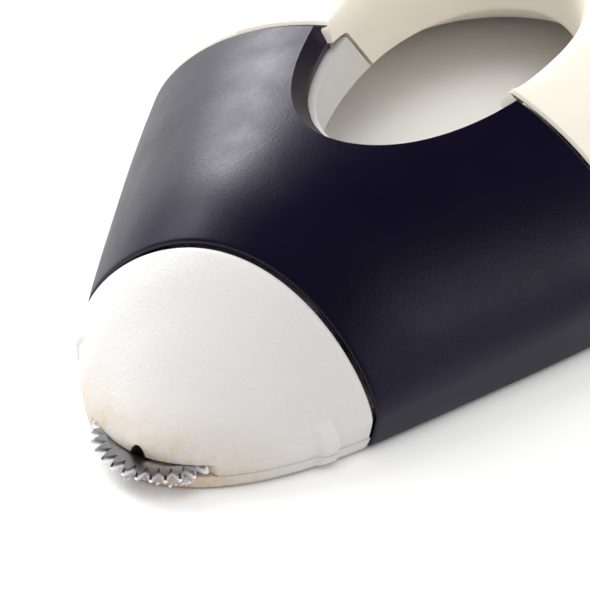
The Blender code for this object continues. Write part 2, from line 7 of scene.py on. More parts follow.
import math
from contextlib import contextmanager

import bmesh
import bpy
import numpy as np
from bpy.props import FloatProperty, FloatVectorProperty, IntProperty, PointerProperty
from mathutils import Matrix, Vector
from mathutils.geometry import delaunay_2d_cdt


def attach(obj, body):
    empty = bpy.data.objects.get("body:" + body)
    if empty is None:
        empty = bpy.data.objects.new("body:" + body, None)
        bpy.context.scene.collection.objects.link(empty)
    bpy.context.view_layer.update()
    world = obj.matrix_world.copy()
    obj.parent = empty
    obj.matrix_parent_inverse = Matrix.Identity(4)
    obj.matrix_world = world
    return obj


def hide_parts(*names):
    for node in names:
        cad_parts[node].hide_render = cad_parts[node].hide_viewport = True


bl_info = {
    "name": "Chalk marking wheel",
    "version": (1, 0, 0),
    "blender": (4, 5, 0),
    "location": "3D View > Sidebar > Chalk marker",
    "description": "Builds the finished pieces of a chalk marking wheel on its CAD frame",
    "category": "Object",
}

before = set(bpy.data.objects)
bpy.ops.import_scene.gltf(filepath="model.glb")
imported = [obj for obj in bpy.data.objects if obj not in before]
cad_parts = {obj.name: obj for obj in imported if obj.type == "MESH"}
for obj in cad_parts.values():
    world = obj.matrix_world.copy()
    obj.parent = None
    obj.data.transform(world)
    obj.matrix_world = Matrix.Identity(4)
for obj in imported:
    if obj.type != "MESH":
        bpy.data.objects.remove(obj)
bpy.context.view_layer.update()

MM = 0.001
GAP = 0.3
LENGTH = 92.0
WIDEST_AT = 62.0
HALF_WIDTH_AT = ((1.6, 5.1), (4.4, 8.4), (8.7, 11.6), (15.0, 14.8), (24.0, 18.6), (35.0, 23.0),
                 (48.0, 27.2), (WIDEST_AT, 29.4))
TAIL_SQUARENESS = 2.3
RIM_HEIGHT, NOSE_SLOPE = 3.7, 0.683
DECK_HEIGHT, DECK_RISE, DECK_FROM, NOSE_BLEND = 17.1, 0.034, 32.0, 3.0
TAIL_DROP_AT, TAIL_FALL = 56.0, 2.5
WAIST_HEIGHT, WAIST_RISE = 2.4, 0.04
CROWN_NOSE, CROWN_BODY, CROWN_BODY_AT = 0.79, 0.62, 54.0
BASE_TUCK = 0.7
SLEEVE_FRONT, SLEEVE_FRONT_LEAN = 13.8, 0.137
SLEEVE_BACK, SLEEVE_BACK_LEAN = 39.1, 0.306
SEAM_Z = 4.35
SHELL_SPLIT = 4.6
SLEEVE_WALL = 2.2
FLOOR = 2.2
LINER_WALL = 1.9
HOLE_AT, HOLE_HALF_WIDTH, HOLE_FRONT, HOLE_BACK = 50.0, 8.6, 18.5, 14.0
HOLE_ROLL, HOLE_ROLL_FROM, HOLE_ROLL_HEIGHT = 4.2, 12.0, 6.2
HOLE_FOOT, HOLE_FOOT_HEIGHT = 2.6, 5.0
UNDERCUT_FROM, UNDERCUT_SLOPE, UNDERCUT_TURN = 8.0, 1.15, (35.0, 60.0)
LIP_FROM, LIP_INSET = 14.6, 0.9
LINER_BACK, LINER_BACK_Z, LINER_BACK_LEAN = 44.0, 15.0, -0.75
WHEEL_AT, WHEEL_Z, WHEEL_THICK = 3.8, 2.05, 0.9
TIP_RADIUS = 6.0                                   # of the wheel in the CAD model
AXLE_RADIUS, AXLE_FOOT, AXLE_TOP = 0.6, 0.75, 3.7
HUB_RADIUS = 2.2
NOSE_WALL = 1.2
HOPPER_FRONT, HOPPER_BACK, HOPPER_HALF_WIDTH = 12.2, 26.6, 5.0
HOPPER_FLOOR, HOPPER_TOP, HOPPER_WALL, LID_THICK = 3.9, 8.2, 1.1, 1.0
NUB_AT, NUB_LENGTH, NUB_PROUD = 9.6, 1.4, 0.45
PARTING = WHEEL_Z - WHEEL_THICK / 2 - GAP / 2      # middle of the gap between the nose's halves
SCREWS = {"screw_front_left": (-11.0, 24.0), "screw_front_right": (11.0, 24.0),
          "screw_back_left": (-14.0, 76.0), "screw_back_right": (14.0, 76.0)}
SCREW_HEAD_RADIUS, SCREW_HEAD, SCREW_SUNK = 2.4, 0.85, 0.25
SCREW_FACE_RADIUS, SCREW_SHANK_RADIUS, SCREW_END = 2.0, 1.1, FLOOR + 7.0
SCREW_RIM = ((2.15, 0.02), (2.3, 0.09), (2.37, 0.18), (SCREW_HEAD_RADIUS, 0.35))
CROSS_REACH, CROSS_HALF_WIDTH, CROSS_DEPTH = 1.5, 0.33, 0.45
QUARTER = math.pi / 2
OVERHANG = TIP_RADIUS - WHEEL_AT
MIDDLE = (LENGTH - OVERHANG) / 2
DISH_AT, DISH_LENGTH, DISH_WIDTH = 7.5, 5.0, 8.0
HALVINGS = 40                                      # of a range, to find a crossing
SETTLINGS = 24                                     # of a leaning row onto the outside


class ChalkMarkerSizes(bpy.types.PropertyGroup):
    skin: FloatProperty(name="Skin", description="Wall thickness of the finished shells",
                        default=0.0009, min=0.0003, max=0.0015, unit="LENGTH")
    edge_round: FloatProperty(name="Edge rounding", description="Radius of the moulded edges",
                              default=0.0003, min=0.00005, max=0.001, unit="LENGTH")
    dish_depth: FloatProperty(name="Finger dish", description="Depth of the dish in the nose",
                              default=0.00055, min=0.0, max=0.001, unit="LENGTH")
    teeth: IntProperty(name="Teeth", description="Number of teeth on the wheel", default=31,
                       min=12, max=60)
    wheel_radius: FloatProperty(name="Wheel radius", description="Centre of the wheel to the tips",
                                default=0.006, min=0.005, max=0.006, unit="LENGTH")
    tooth_depth: FloatProperty(name="Tooth depth", description="Tip to root of a tooth",
                               default=0.00095, min=0.0004, max=0.0015, unit="LENGTH")
    crumbs: IntProperty(name="Chalk crumbs", description="Crumbs of chalk by the wheel",
                        default=46, min=0, max=200)


def colour_property(name, description, default):
    return FloatVectorProperty(name=name, description=description, default=default, size=3,
                               min=0, max=1, subtype="COLOR")


class ChalkMarkerFinishes(bpy.types.PropertyGroup):
    cream: colour_property("Cream", "Colour of the rear shell", (0.93, 0.86, 0.75))
    navy: colour_property("Navy", "Colour of the grip sleeve", (0.0045, 0.0025, 0.018))
    white: colour_property("White", "Colour of the nose and the liner", (0.70, 0.685, 0.67))
    # The amber colour is painted shade, mixed into the nose's lower front rim.
    amber: colour_property("Amber", "Tint of the nose's lower rim", (0.62, 0.42, 0.24))
    steel: colour_property("Steel", "Colour of the wheel and the screws", (0.88, 0.88, 0.90))
    chalk: colour_property("Chalk", "Colour of the chalk powder", (0.86, 0.84, 0.86))
    felt: colour_property("Felt", "Colour of the felt strip", (0.72, 0.70, 0.66))


class ChalkMarkerStage(bpy.types.PropertyGroup):
    floor: colour_property("Floor", "Colour of the table", (0.97, 0.965, 0.955))
    ambient: FloatProperty(name="Ambient", description="Strength of the light from all round",
                           default=0.56, min=0, max=5)
    key: FloatProperty(name="Key light", description="Power of the softbox on the left",
                       default=2.9, min=0, max=50, unit="POWER")
    sheen: FloatProperty(name="Sheen light", description="Power of the lights that gloss shows",
                         default=1.3, min=0, max=20, unit="POWER")
    azimuth: FloatProperty(name="Azimuth", description="Turn of the camera round the object",
                           default=math.radians(32.57), subtype="ANGLE")
    elevation: FloatProperty(name="Elevation", description="Height of the camera as an angle",
                             default=math.radians(38.0), subtype="ANGLE")
    distance: FloatProperty(name="Distance", description="Camera to the point it looks at",
                            default=0.45, min=0.1, max=5, unit="LENGTH")
    lens: FloatProperty(name="Lens", description="Focal length in millimetres", default=334.05,
                        min=20, max=900)
    target: FloatVectorProperty(name="Target", description="Point the camera looks at", size=3,
                                default=(0.00276, -0.02567, 0.0074), subtype="TRANSLATION")


LAMPS_AIM = (0.0, -0.01, 0.01)                     # metres, as are the lamps' places and sizes
LAMPS = (("key", (-0.50, -0.02, 0.42), (0.30, 0.45), ("key", 0.7), False),
         ("overhead", (0.05, -0.10, 0.62), (0.45, 0.45), ("key", 0.55), False),
         ("sheen", (-0.464, 0.30, 0.20), (0.16, 0.16), ("sheen", 1.0), True),
         ("sheen_front", (-0.52, 0.02, 0.27), (0.12, 0.12), ("sheen", 0.35), True),
         ("glow", (0.52, 0.09, 0.28), (0.22, 0.22), ("sheen", 0.28), True))


# --- form of the body -------------------------------------------------------------------------
def unit(value):
    """A value held between 0 and 1."""
    return np.clip(value, 0.0, 1.0)


def smooth_step(share):
    """A share from 0 to 1 with level ends."""
    return 3 * share ** 2 - 2 * share ** 3


def smooth_curve(knots, values, at):
    """Cubic through the knots: straight at the first end, level at the last."""
    n = len(knots)
    step = np.diff(knots)
    slope = np.diff(values) / step
    rows = np.zeros((n, n))
    right = np.zeros(n)
    inner = np.arange(1, n - 1)
    rows[0, 0] = 1.0
    rows[inner, inner - 1] = step[:-1]
    rows[inner, inner] = 2 * (step[:-1] + step[1:])
    rows[inner, inner + 1] = step[1:]
    right[inner] = 6 * np.diff(slope)
    rows[-1, -2:] = step[-1], 2 * step[-1]
    right[-1] = -6 * slope[-1]
    bend = np.linalg.solve(rows, right)
    k = np.clip(np.searchsorted(knots, at, side="right") - 1, 0, n - 2)
    a, b = at - knots[k], knots[k + 1] - at
    cubic = (bend[k] * b ** 3 + bend[k + 1] * a ** 3) / (6 * step[k])
    lower = (values[k] / step[k] - bend[k] * step[k] / 6) * b
    upper = (values[k + 1] / step[k] - bend[k + 1] * step[k] / 6) * a
    return cubic + lower + upper


def half_width(t):
    """Half the plan's width: a cubic in the square root of t, then a superellipse tail."""
    knots = np.sqrt(np.array([0.0] + [k for k, _ in HALF_WIDTH_AT]))
    values = np.array([0.0] + [w for _, w in HALF_WIDTH_AT])
    front = smooth_curve(knots, values, np.sqrt(np.clip(t, 0.0, WIDEST_AT)))
    tail = unit((t - WIDEST_AT) / (LENGTH - WIDEST_AT))
    return front * (1 - tail ** TAIL_SQUARENESS) ** (1 / TAIL_SQUARENESS)


def waist(t):
    """Height of the widest line, a straight line in t."""
    return WAIST_HEIGHT + WAIST_RISE * t


def top(t):
    """Height of the middle line: the lower of two ramps, softly blended, times the tail's fall."""
    nose = RIM_HEIGHT + NOSE_SLOPE * t
    deck = DECK_HEIGHT + DECK_RISE * (t - DECK_FROM)
    ramp = (nose + deck - np.sqrt((nose - deck) ** 2 + NOSE_BLEND ** 2)) / 2
    fall = unit((t - TAIL_DROP_AT) / (LENGTH - TAIL_DROP_AT))
    return waist(t) + (ramp - waist(t)) * (1 - fall ** TAIL_FALL) ** (1 / TAIL_FALL)


def crown(t):
    """Fullness of the dome: 0.5 is round and 1 is peaked."""
    return CROWN_NOSE + (CROWN_BODY - CROWN_NOSE) * unit(t / CROWN_BODY_AT)


def grade(t):
    """Length of the plan's outline per millimetre of t."""
    slope = (half_width(t + 0.05) - half_width(np.maximum(t - 0.05, 0.0))) / 0.1
    return np.sqrt(1.0 + slope ** 2)


def dish(t, x):
    """Finger dish: a bell in the fourth power of the distance from its middle."""
    depth = bpy.context.scene.chalk_marker_sizes.dish_depth / MM
    return depth * np.exp(-((((t - DISH_AT) / DISH_LENGTH) ** 2 + (x / DISH_WIDTH) ** 2) ** 2))


def dome_height(t, x):
    """Height of the outside over a place in plan: waist plus rise times (1 - across^2)^crown."""
    across = unit(np.abs(x) / np.maximum(half_width(t), 1e-6))
    return waist(t) + (top(t) - waist(t)) * (1 - across ** 2) ** crown(t) - dish(t, x)


def outside(t, u):
    """Point of the outside as x, t, z.

    u runs from 0 on the middle line over the dome to 1 at the waist, round the tucked lower
    corner to 2, and in along the flat underside to 3, where the wall ends.
    """
    w, low, high = half_width(t), waist(t), top(t)
    dome = unit(u) * QUARTER
    corner = unit(u - 1.0) * QUARTER
    tuck = np.minimum(BASE_TUCK, 0.8 * w)
    x = w * np.sin(dome) - tuck * (1 - np.cos(corner))
    reach = np.clip(SLEEVE_WALL * grade(t) - tuck, 0.0, None)
    x = np.maximum(x - unit(u - 2.0) * reach, 0.0)
    over = low + (high - low) * unit(np.cos(dome)) ** (2 * crown(t)) - dish(t, x)
    z = np.where(u < 1.0, over, low * (1 - np.sin(corner)))
    return np.stack([x, t, z], axis=-1)


def leaning_rows(place, lean, u):
    """Rows of points where leaning planes, t = place + lean * (z - SEAM_Z), cut the outside."""
    place, lean = place[:, None], lean[:, None]
    t = place + np.zeros_like(u)
    for _ in range(SETTLINGS):
        t = np.clip(place + lean * (outside(t, u)[..., 2] - SEAM_Z), 0.0, LENGTH)
    return outside(t, u)


def height_to_u(t, z):
    """The u of a height on the outside at t: the dome's or the lower corner's formula, inverted."""
    low, high = waist(t), top(t)
    rise = unit((z - low) / np.maximum(high - low, 1e-9))
    over = np.arccos(rise ** (1 / (2 * crown(t)))) / QUARTER
    under = 1.0 + np.arcsin(unit(1 - z / low)) / QUARTER
    return np.where(z >= low, over, under)


def spread(start, end, s):
    """Row i runs from start[i] to end[i] as s goes from 0 to 1."""
    return start[:, None] + (end - start)[:, None] * s[None, :]


def eased(count, ease=0.0):
    """Fractions from 0 to 1, closer together at the ends as ease goes to 1."""
    s = np.linspace(0.0, 1.0, count)
    return s * (1 - ease) + ease * (1 - np.cos(s * math.pi)) / 2


# --- form of the finger hole --------------------------------------------------------------------
def hole_flare(z):
    """How far the hole's wall rolls outwards at a height: a quarter ellipse up, another down."""
    up = unit((z - HOLE_ROLL_FROM) / HOLE_ROLL_HEIGHT)
    down = unit((HOLE_FOOT_HEIGHT - z) / HOLE_FOOT_HEIGHT)
    return HOLE_ROLL * (1 - np.sqrt(1 - up ** 2)) + HOLE_FOOT * (1 - np.sqrt(1 - down ** 2))


def lip_flare(z):
    """The sleeve's funnel: straight, then 45 degrees above LIP_FROM."""
    return LIP_INSET + np.maximum(z - LIP_FROM, 0.0)


def hole_edge(turn, extra):
    """Egg outline widened by extra: turn is 0 at the front and pi at the back."""
    reach = np.where(np.cos(turn) > 0, HOLE_FRONT, HOLE_BACK) + extra
    return (HOLE_HALF_WIDTH + extra) * np.sin(turn), HOLE_AT - reach * np.cos(turn)


def undercut(turn, z):
    """How far the wall runs outwards low down: a slope that starts beside the finger."""
    start, end = UNDERCUT_TURN
    side = unit((np.degrees(turn) - start) / (end - start))
    return side * UNDERCUT_SLOPE * np.clip(UNDERCUT_FROM - z, 0.0, None)


def hole_wall(turn, z, flare):
    """Point of the hole's wall as x, t, z."""
    x, t = hole_edge(turn, flare(z) + undercut(turn, z))
    return np.stack([x, t, z + 0.0 * x], axis=-1)


def rim(turn, flare):
    """Where the hole's wall meets the dome, found by halving the height's range."""
    low = np.full_like(turn, HOLE_ROLL_FROM)
    high = np.full_like(turn, HOLE_ROLL_FROM + HOLE_ROLL_HEIGHT - 0.01)
    for _ in range(HALVINGS):
        z = (low + high) / 2
        x, t = hole_edge(turn, flare(z))
        above = dome_height(t, x) > z
        low, high = np.where(above, z, low), np.where(above, high, z)
    return hole_wall(turn, z, flare)


def turn_at(t, z):
    """The turn at which the hole's wall reaches t at a height, by halving."""
    low, high = np.zeros_like(z * t), np.full_like(z * t, math.pi)
    for _ in range(HALVINGS):
        turn = (low + high) / 2
        ahead = hole_wall(turn, z, hole_flare)[..., 1] < t
        low, high = np.where(ahead, turn, low), np.where(ahead, high, turn)
    return turn


def seam_turn(flare, place, lean):
    """The turn at which the rim on the dome crosses a leaning plane, by halving."""
    low, high = np.array([0.0]), np.array([QUARTER])
    for _ in range(HALVINGS):
        turn = (low + high) / 2
        edge = rim(turn, flare)
        ahead = edge[:, 1] < place + lean * (edge[:, 2] - SEAM_Z)
        low, high = np.where(ahead, turn, low), np.where(ahead, high, turn)
    return float(turn[0])


def liner_plane(z, clearance=0.0):
    """t of the slanted joint behind the liner at a height."""
    return LINER_BACK + 1.4 * clearance + LINER_BACK_LEAN * (z - LINER_BACK_Z)


# --- meshes -----------------------------------------------------------------------------------
def round_over(grid, distance, radius):
    """Sinks the rows nearer than radius to an edge along the normal, by a quarter circle."""
    normal = np.cross(np.gradient(grid, axis=0), np.gradient(grid, axis=1))
    normal /= np.maximum(np.linalg.norm(normal, axis=-1, keepdims=True), 1e-9)
    middle = grid * [0.0, 1.0, 0.0] + [0.0, 0.0, 3.0]
    outward = np.sign(np.sum(normal * (grid - middle), axis=-1, keepdims=True))
    short = np.clip(radius - distance, 0.0, radius)
    sink = radius - np.sqrt(np.clip(radius ** 2 - short ** 2, 0.0, None))
    return grid - normal * outward * sink[..., None]


def both_sides(grid):
    """A grid for the right side and its mirror image for the left, as (grid, flip) blocks."""
    return [(grid, False), (grid * [-1.0, 1.0, 1.0], True)]


def sheet_mesh(name, blocks, weld=0.002):
    """One mesh from grids of points in millimetres, welded where their edges meet."""
    points, quads, start = [], [], 0
    for grid, flip in blocks:
        n, m = grid.shape[:2]
        i = np.arange(n * m).reshape(n, m) + start
        quad = np.stack([i[:-1, :-1], i[:-1, 1:], i[1:, 1:], i[1:, :-1]], axis=-1).reshape(-1, 4)
        quads.append(quad[:, ::-1] if flip else quad)
        points.append(grid.reshape(-1, 3))
        start += n * m
    co = (np.concatenate(points) - [0.0, MIDDLE, 0.0]) * MM
    mesh = bpy.data.meshes.new(name)
    mesh.from_pydata(co, [], np.concatenate(quads))
    clean(mesh, weld * MM)
    return mesh


@contextmanager
def edited(mesh):
    """Opens a mesh for editing and writes it back."""
    bm = bmesh.new()
    bm.from_mesh(mesh)
    yield bm
    bm.to_mesh(mesh)
    bm.free()


def clean(mesh, distance):
    """Merges doubled points and drops faces without area."""
    with edited(mesh) as bm:
        bmesh.ops.remove_doubles(bm, verts=bm.verts, dist=distance)
        bmesh.ops.dissolve_degenerate(bm, edges=bm.edges, dist=1e-7)


def face_outwards(mesh, sheet_centre=None, inwards=False):
    """Turns all faces over if the mesh is inside out, by volume or away from a centre. With
    inwards, the faces of a sheet end up towards the centre."""
    with edited(mesh) as bm:
        if sheet_centre is None:
            inside_out = bm.calc_volume(signed=True) < 0
        else:
            centre = Vector((0.0, sheet_centre - MIDDLE, 5.0)) * MM
            inside_out = sum((f.calc_center_median() - centre).dot(f.normal) * f.calc_area()
                             for f in bm.faces) < 0
        if inside_out != inwards:
            bmesh.ops.reverse_faces(bm, faces=bm.faces)


def recalculate(mesh):
    """Turns the faces of a closed mesh outwards."""
    with edited(mesh) as bm:
        bmesh.ops.recalc_face_normals(bm, faces=bm.faces)
    face_outwards(mesh)


def relax(mesh, weight_of, rounds):
    """Moves each point towards the mean of its neighbours, as far as its weight says."""
    n = len(mesh.vertices)
    co = np.empty(n * 3)
    mesh.vertices.foreach_get("co", co)
    co = co.reshape(n, 3)
    edges = np.empty(len(mesh.edges) * 2, dtype=np.int64)
    mesh.edges.foreach_get("vertices", edges)
    a, b = edges.reshape(-1, 2).T
    count = np.bincount(a, minlength=n) + np.bincount(b, minlength=n)
    weight = weight_of(co / MM + [0.0, MIDDLE, 0.0])[:, None]
    for _ in range(rounds):
        total = np.stack([np.bincount(a, co[b, k], n) + np.bincount(b, co[a, k], n)
                          for k in range(3)], axis=-1)
        co = co + weight * (total / count[:, None] - co)
    mesh.vertices.foreach_set("co", co.ravel())
    mesh.update()


def keep_above_table(mesh):
    """Lifts any point below the table to it."""
    co = np.empty(len(mesh.vertices) * 3)
    mesh.vertices.foreach_get("co", co)
    co[2::3] = np.maximum(co[2::3], 0.0)
    mesh.vertices.foreach_set("co", co)
    mesh.update()


def walled(mesh, thickness):
    """The mesh of an open sheet after it gets its wall on the inner side."""
    carrier = bpy.data.objects.new("sheet", mesh)
    bpy.context.scene.collection.objects.link(carrier)
    wall = carrier.modifiers.new("wall", "SOLIDIFY")
    wall.thickness = thickness
    wall.offset = -1.0
    graph = bpy.context.evaluated_depsgraph_get()
    solid = bpy.data.meshes.new_from_object(carrier.evaluated_get(graph))
    bpy.data.objects.remove(carrier)
    bpy.data.meshes.remove(mesh)
    return solid


def place_piece(name, mesh, body, replaced, finish, angle=40.0, thickness=0.0):
    """Puts a mesh into the scene at the origin, gives it its wall and its finish, parents it to the
    body it rides on and hides the CAD nodes that it stands for."""
    if thickness:
        mesh = walled(mesh, thickness)
        mesh.name = name
    keep_above_table(mesh)
    mesh.shade_smooth()
    mesh.set_sharp_from_angle(angle=math.radians(angle))
    mesh.materials.append(finish)
    piece = bpy.data.objects.new(name, mesh)
    bpy.context.scene.collection.objects.link(piece)
    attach(piece, body)
    if replaced:
        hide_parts(*replaced)
    return piece


def sizes():
    return bpy.context.scene.chalk_marker_sizes


# --- finishes ---------------------------------------------------------------------------------
def noise(nodes, links, place, scale, detail=2.0, roughness=0.5):
    """Noise in metres: scale is features per metre."""
    node = nodes.new("ShaderNodeTexNoise")
    node.inputs["Scale"].default_value = scale
    node.inputs["Detail"].default_value = detail
    node.inputs["Roughness"].default_value = roughness
    links.new(place, node.inputs["Vector"])
    return node.outputs["Fac"]


def remap(nodes, links, value, low, high, out_low, out_high):
    """Carries a value from one range to another, held at its ends."""
    node = nodes.new("ShaderNodeMapRange")
    for name, number in (("From Min", low), ("From Max", high), ("To Min", out_low),
                         ("To Max", out_high)):
        node.inputs[name].default_value = number
    links.new(value, node.inputs["Value"])
    return node.outputs["Result"]


def blend_colours(nodes, links, factor, first, second):
    """Mix of two colours, either of which may be an output of another node."""
    node = nodes.new("ShaderNodeMix")
    node.data_type = "RGBA"
    links.new(factor, node.inputs["Factor"])
    for slot, colour in (("A", first), ("B", second)):
        socket = [s for s in node.inputs if s.name == slot and s.type == "RGBA"][0]
        if isinstance(colour, bpy.types.NodeSocket):
            links.new(colour, socket)
        else:
            socket.default_value = (*colour, 1.0)
    return [s for s in node.outputs if s.type == "RGBA"][0]


def multiply(nodes, links, first, second):
    node = nodes.new("ShaderNodeMath")
    node.operation = "MULTIPLY"
    links.new(first, node.inputs[0])
    links.new(second, node.inputs[1])
    return node.outputs[0]


def bump(nodes, links, height, distance, under=None):
    node = nodes.new("ShaderNodeBump")
    node.inputs["Strength"].default_value = 1.0
    node.inputs["Distance"].default_value = distance
    links.new(height, node.inputs["Height"])
    if under is not None:
        links.new(under, node.inputs["Normal"])
    return node.outputs["Normal"]


def surface_finish(name, colour, drift, roughness, spread_of, grain_scale, grain_depth,
                   metallic=0.0, mottle=60.0, specular=0.5, voronoi=0.0):
    """A moulded or rolled surface: slow colour drift, uneven gloss and a fine grain.

    drift is how much darker the colour gets in patches, spread_of how far the roughness wanders,
    grain_scale the grains per metre and grain_depth their height in metres.
    """
    made = bpy.data.materials.get(name)
    if made is not None:
        return made
    made = bpy.data.materials.new(name)
    made.use_nodes = True
    nodes, links = made.node_tree.nodes, made.node_tree.links
    shader = nodes["Principled BSDF"]
    place = nodes.new("ShaderNodeTexCoord").outputs["Object"]
    patches = noise(nodes, links, place, mottle, 4.0, 0.6)
    darker = tuple(c * (1 - drift) for c in colour)
    mixed = blend_colours(nodes, links, remap(nodes, links, patches, 0.3, 0.7, 0.0, 1.0),
                          colour, darker)
    links.new(mixed, shader.inputs["Base Color"])
    wear = noise(nodes, links, place, mottle * 7.0, 6.0, 0.65)
    links.new(remap(nodes, links, wear, 0.3, 0.7, roughness - spread_of, roughness + spread_of),
              shader.inputs["Roughness"])
    grain = noise(nodes, links, place, grain_scale, 3.0, 0.6)
    normal = bump(nodes, links, grain, grain_depth)
    if voronoi:
        cells = nodes.new("ShaderNodeTexVoronoi")
        cells.inputs["Scale"].default_value = voronoi
        links.new(place, cells.inputs["Vector"])
        normal = bump(nodes, links, cells.outputs["Distance"], grain_depth * 1.6, normal)
    links.new(normal, shader.inputs["Normal"])
    shader.inputs["Metallic"].default_value = metallic
    shader.inputs["Specular IOR Level"].default_value = specular
    return made


def finishes():
    return bpy.context.scene.chalk_marker_finishes


def cream_finish():
    made = surface_finish("cream_plastic", tuple(finishes().cream), 0.05, 0.42, 0.06, 2600.0,
                          0.000012)
    shader = made.node_tree.nodes["Principled BSDF"]
    shader.inputs["Subsurface Weight"].default_value = 0.12
    shader.inputs["Subsurface Radius"].default_value = (1.0, 0.75, 0.5)
    shader.inputs["Subsurface Scale"].default_value = 0.0012
    return made


def navy_finish():
    made = surface_finish("navy_plastic", tuple(finishes().navy), 0.35, 0.43, 0.04, 2600.0,
                          0.0000045, mottle=40.0, voronoi=3400.0)
    shader = made.node_tree.nodes["Principled BSDF"]
    shader.inputs["Specular Tint"].default_value = (0.90, 0.87, 1.0, 1.0)
    return made


def white_finish():
    return surface_finish("white_plastic", tuple(finishes().white), 0.03, 0.45, 0.05, 2200.0,
                          0.000012)


def frosted_finish():
    """Translucent nose plastic: glints, a frosted grain and amber painted shade low on its front
    rim.
    """
    name = "frosted_nose"
    known = bpy.data.materials.get(name)
    if known is not None:
        return known
    made = surface_finish(name, tuple(finishes().white), 0.03, 0.40, 0.10, 3800.0, 0.000016,
                          mottle=90.0, voronoi=3000.0)
    nodes, links = made.node_tree.nodes, made.node_tree.links
    shader = nodes["Principled BSDF"]
    old = shader.inputs["Base Color"].links[0].from_socket
    place = nodes.new("ShaderNodeTexCoord").outputs["Object"]
    axes = nodes.new("ShaderNodeSeparateXYZ")
    links.new(place, axes.inputs["Vector"])
    # Painted shade: an amber tint mixed in low on the front of the rim, in patches, for the shade
    # where the nose nears the table.
    low = remap(nodes, links, axes.outputs["Z"], 0.0012, 0.0060, 1.0, 0.0)
    fore = remap(nodes, links, axes.outputs["Y"], (7.5 - MIDDLE) * MM, (1.5 - MIDDLE) * MM,
                 0.0, 1.0)
    patches = remap(nodes, links, noise(nodes, links, place, 500.0, 5.0, 0.7), 0.35, 0.65,
                    0.25, 1.0)
    painted_shade_mask = multiply(nodes, links, multiply(nodes, links, low, fore), patches)
    tinted = blend_colours(nodes, links, painted_shade_mask, old, tuple(finishes().amber))
    links.new(tinted, shader.inputs["Base Color"])
    shader.inputs["Subsurface Weight"].default_value = 0.35
    shader.inputs["Subsurface Radius"].default_value = (1.0, 0.9, 0.8)
    shader.inputs["Subsurface Scale"].default_value = 0.0016
    return made


def steel_finish():
    return surface_finish("bright_steel", tuple(finishes().steel), 0.12, 0.38, 0.08, 5200.0,
                          0.000008, metallic=1.0, mottle=700.0)


def chalk_finish():
    return surface_finish("chalk_powder", tuple(finishes().chalk), 0.10, 0.93, 0.05, 6500.0,
                          0.00005, mottle=900.0, specular=0.1)


def felt_finish():
    return surface_finish("felt", tuple(finishes().felt), 0.22, 0.93, 0.05, 9000.0, 0.00006,
                          mottle=1500.0, specular=0.1)


def floor_finish():
    return surface_finish("table_top", tuple(bpy.context.scene.chalk_marker_stage.floor), 0.01,
                          0.60, 0.04, 900.0, 0.000004, mottle=8.0, specular=0.15)


# --- pieces -------------------------------------------------------------------------------------
def nub(points):
    """Small upright ribs on the nose's flanks, as a smooth step out along x."""
    x, t, z = np.moveaxis(points, -1, 0)
    along = unit((NUB_LENGTH / 2 - np.abs(t - NUB_AT)) / 0.4 + 0.5)
    up = unit((4.4 - z) / 0.9) * unit((z - 0.1) / 0.4)
    flank = unit((x / half_width(t) - 0.86) / 0.08)
    push = NUB_PROUD * smooth_step(along) * smooth_step(up) * flank
    return points + np.stack([push, 0 * push, 0 * push], axis=-1)


def lip_rows(flare, place, lean, count):
    """Turns from the front of the hole to where its rim meets a leaning plane, with the rim."""
    last = seam_turn(flare, place, lean)
    turn = last * eased(count)
    return turn, rim(turn, flare)


def build_grip_sleeve():
    """Rows are leaning planes from the white seam to the cream seam; the rows behind the
    funnel's front start at the funnel's edge. A second grid goes down the funnel."""
    front, back = SLEEVE_FRONT + GAP / 2, SLEEVE_BACK - GAP / 2
    round_mm = sizes().edge_round / MM
    turn, edge = lip_rows(lip_flare, back, SLEEVE_BACK_LEAN, 90)
    over = edge[:, 2] - SEAM_Z
    v = ((edge[:, 1] - front - SLEEVE_FRONT_LEAN * over)
         / ((back - front) + (SLEEVE_BACK_LEAN - SLEEVE_FRONT_LEAN) * over))
    ends = round_mm * np.array([0.0, 0.04, 0.15, 0.4, 0.75, 1.1]) / (back - front)
    ahead = np.concatenate([ends, np.linspace(ends[-1] * 2, v[0], 46)[:-1]])
    late = np.sort(np.concatenate([v, 1.0 - ends[1:]]))
    turn_late = np.interp(late, v, turn)
    edge_late = rim(turn_late, lip_flare)
    all_v = np.concatenate([ahead, late])
    start = np.concatenate([np.zeros(len(ahead)), np.arcsin(unit(
        edge_late[:, 0] / half_width(edge_late[:, 1]))) / QUARTER])
    dome = spread(start, np.ones(len(start)), eased(66, 0.25))
    corner = np.ones((len(start), 1)) * np.linspace(1.0, 2.0, 10)[1:]
    under = np.ones((len(start), 1)) * np.array([2.4, 3.0])
    u = np.concatenate([dome, corner, under], axis=1)
    lean = SLEEVE_FRONT_LEAN + (SLEEVE_BACK_LEAN - SLEEVE_FRONT_LEAN) * all_v
    grid = leaning_rows(front + (back - front) * all_v, lean, u)
    away = np.minimum(all_v, 1.0 - all_v) * (back - front)
    grid = round_over(grid, away[:, None], round_mm)
    rim_row = grid[len(ahead):, 0]
    depth = np.concatenate([[0.0, 0.03, 0.1], np.linspace(0.2, 1.0, 9)])
    z = rim_row[:, 2][:, None] - 2.1 * depth[None, :]
    wall = hole_wall(turn_late[:, None] + 0 * z, z, lip_flare)
    wall[:, 0] = rim_row
    mesh = sheet_mesh("grip_sleeve_skin", both_sides(grid) + both_sides(wall[:, ::-1]))
    face_outwards(mesh, 30.0)
    return place_piece("grip_sleeve_skin", mesh, "case", ["grip_sleeve"], navy_finish(),
                       30.0, sizes().skin)


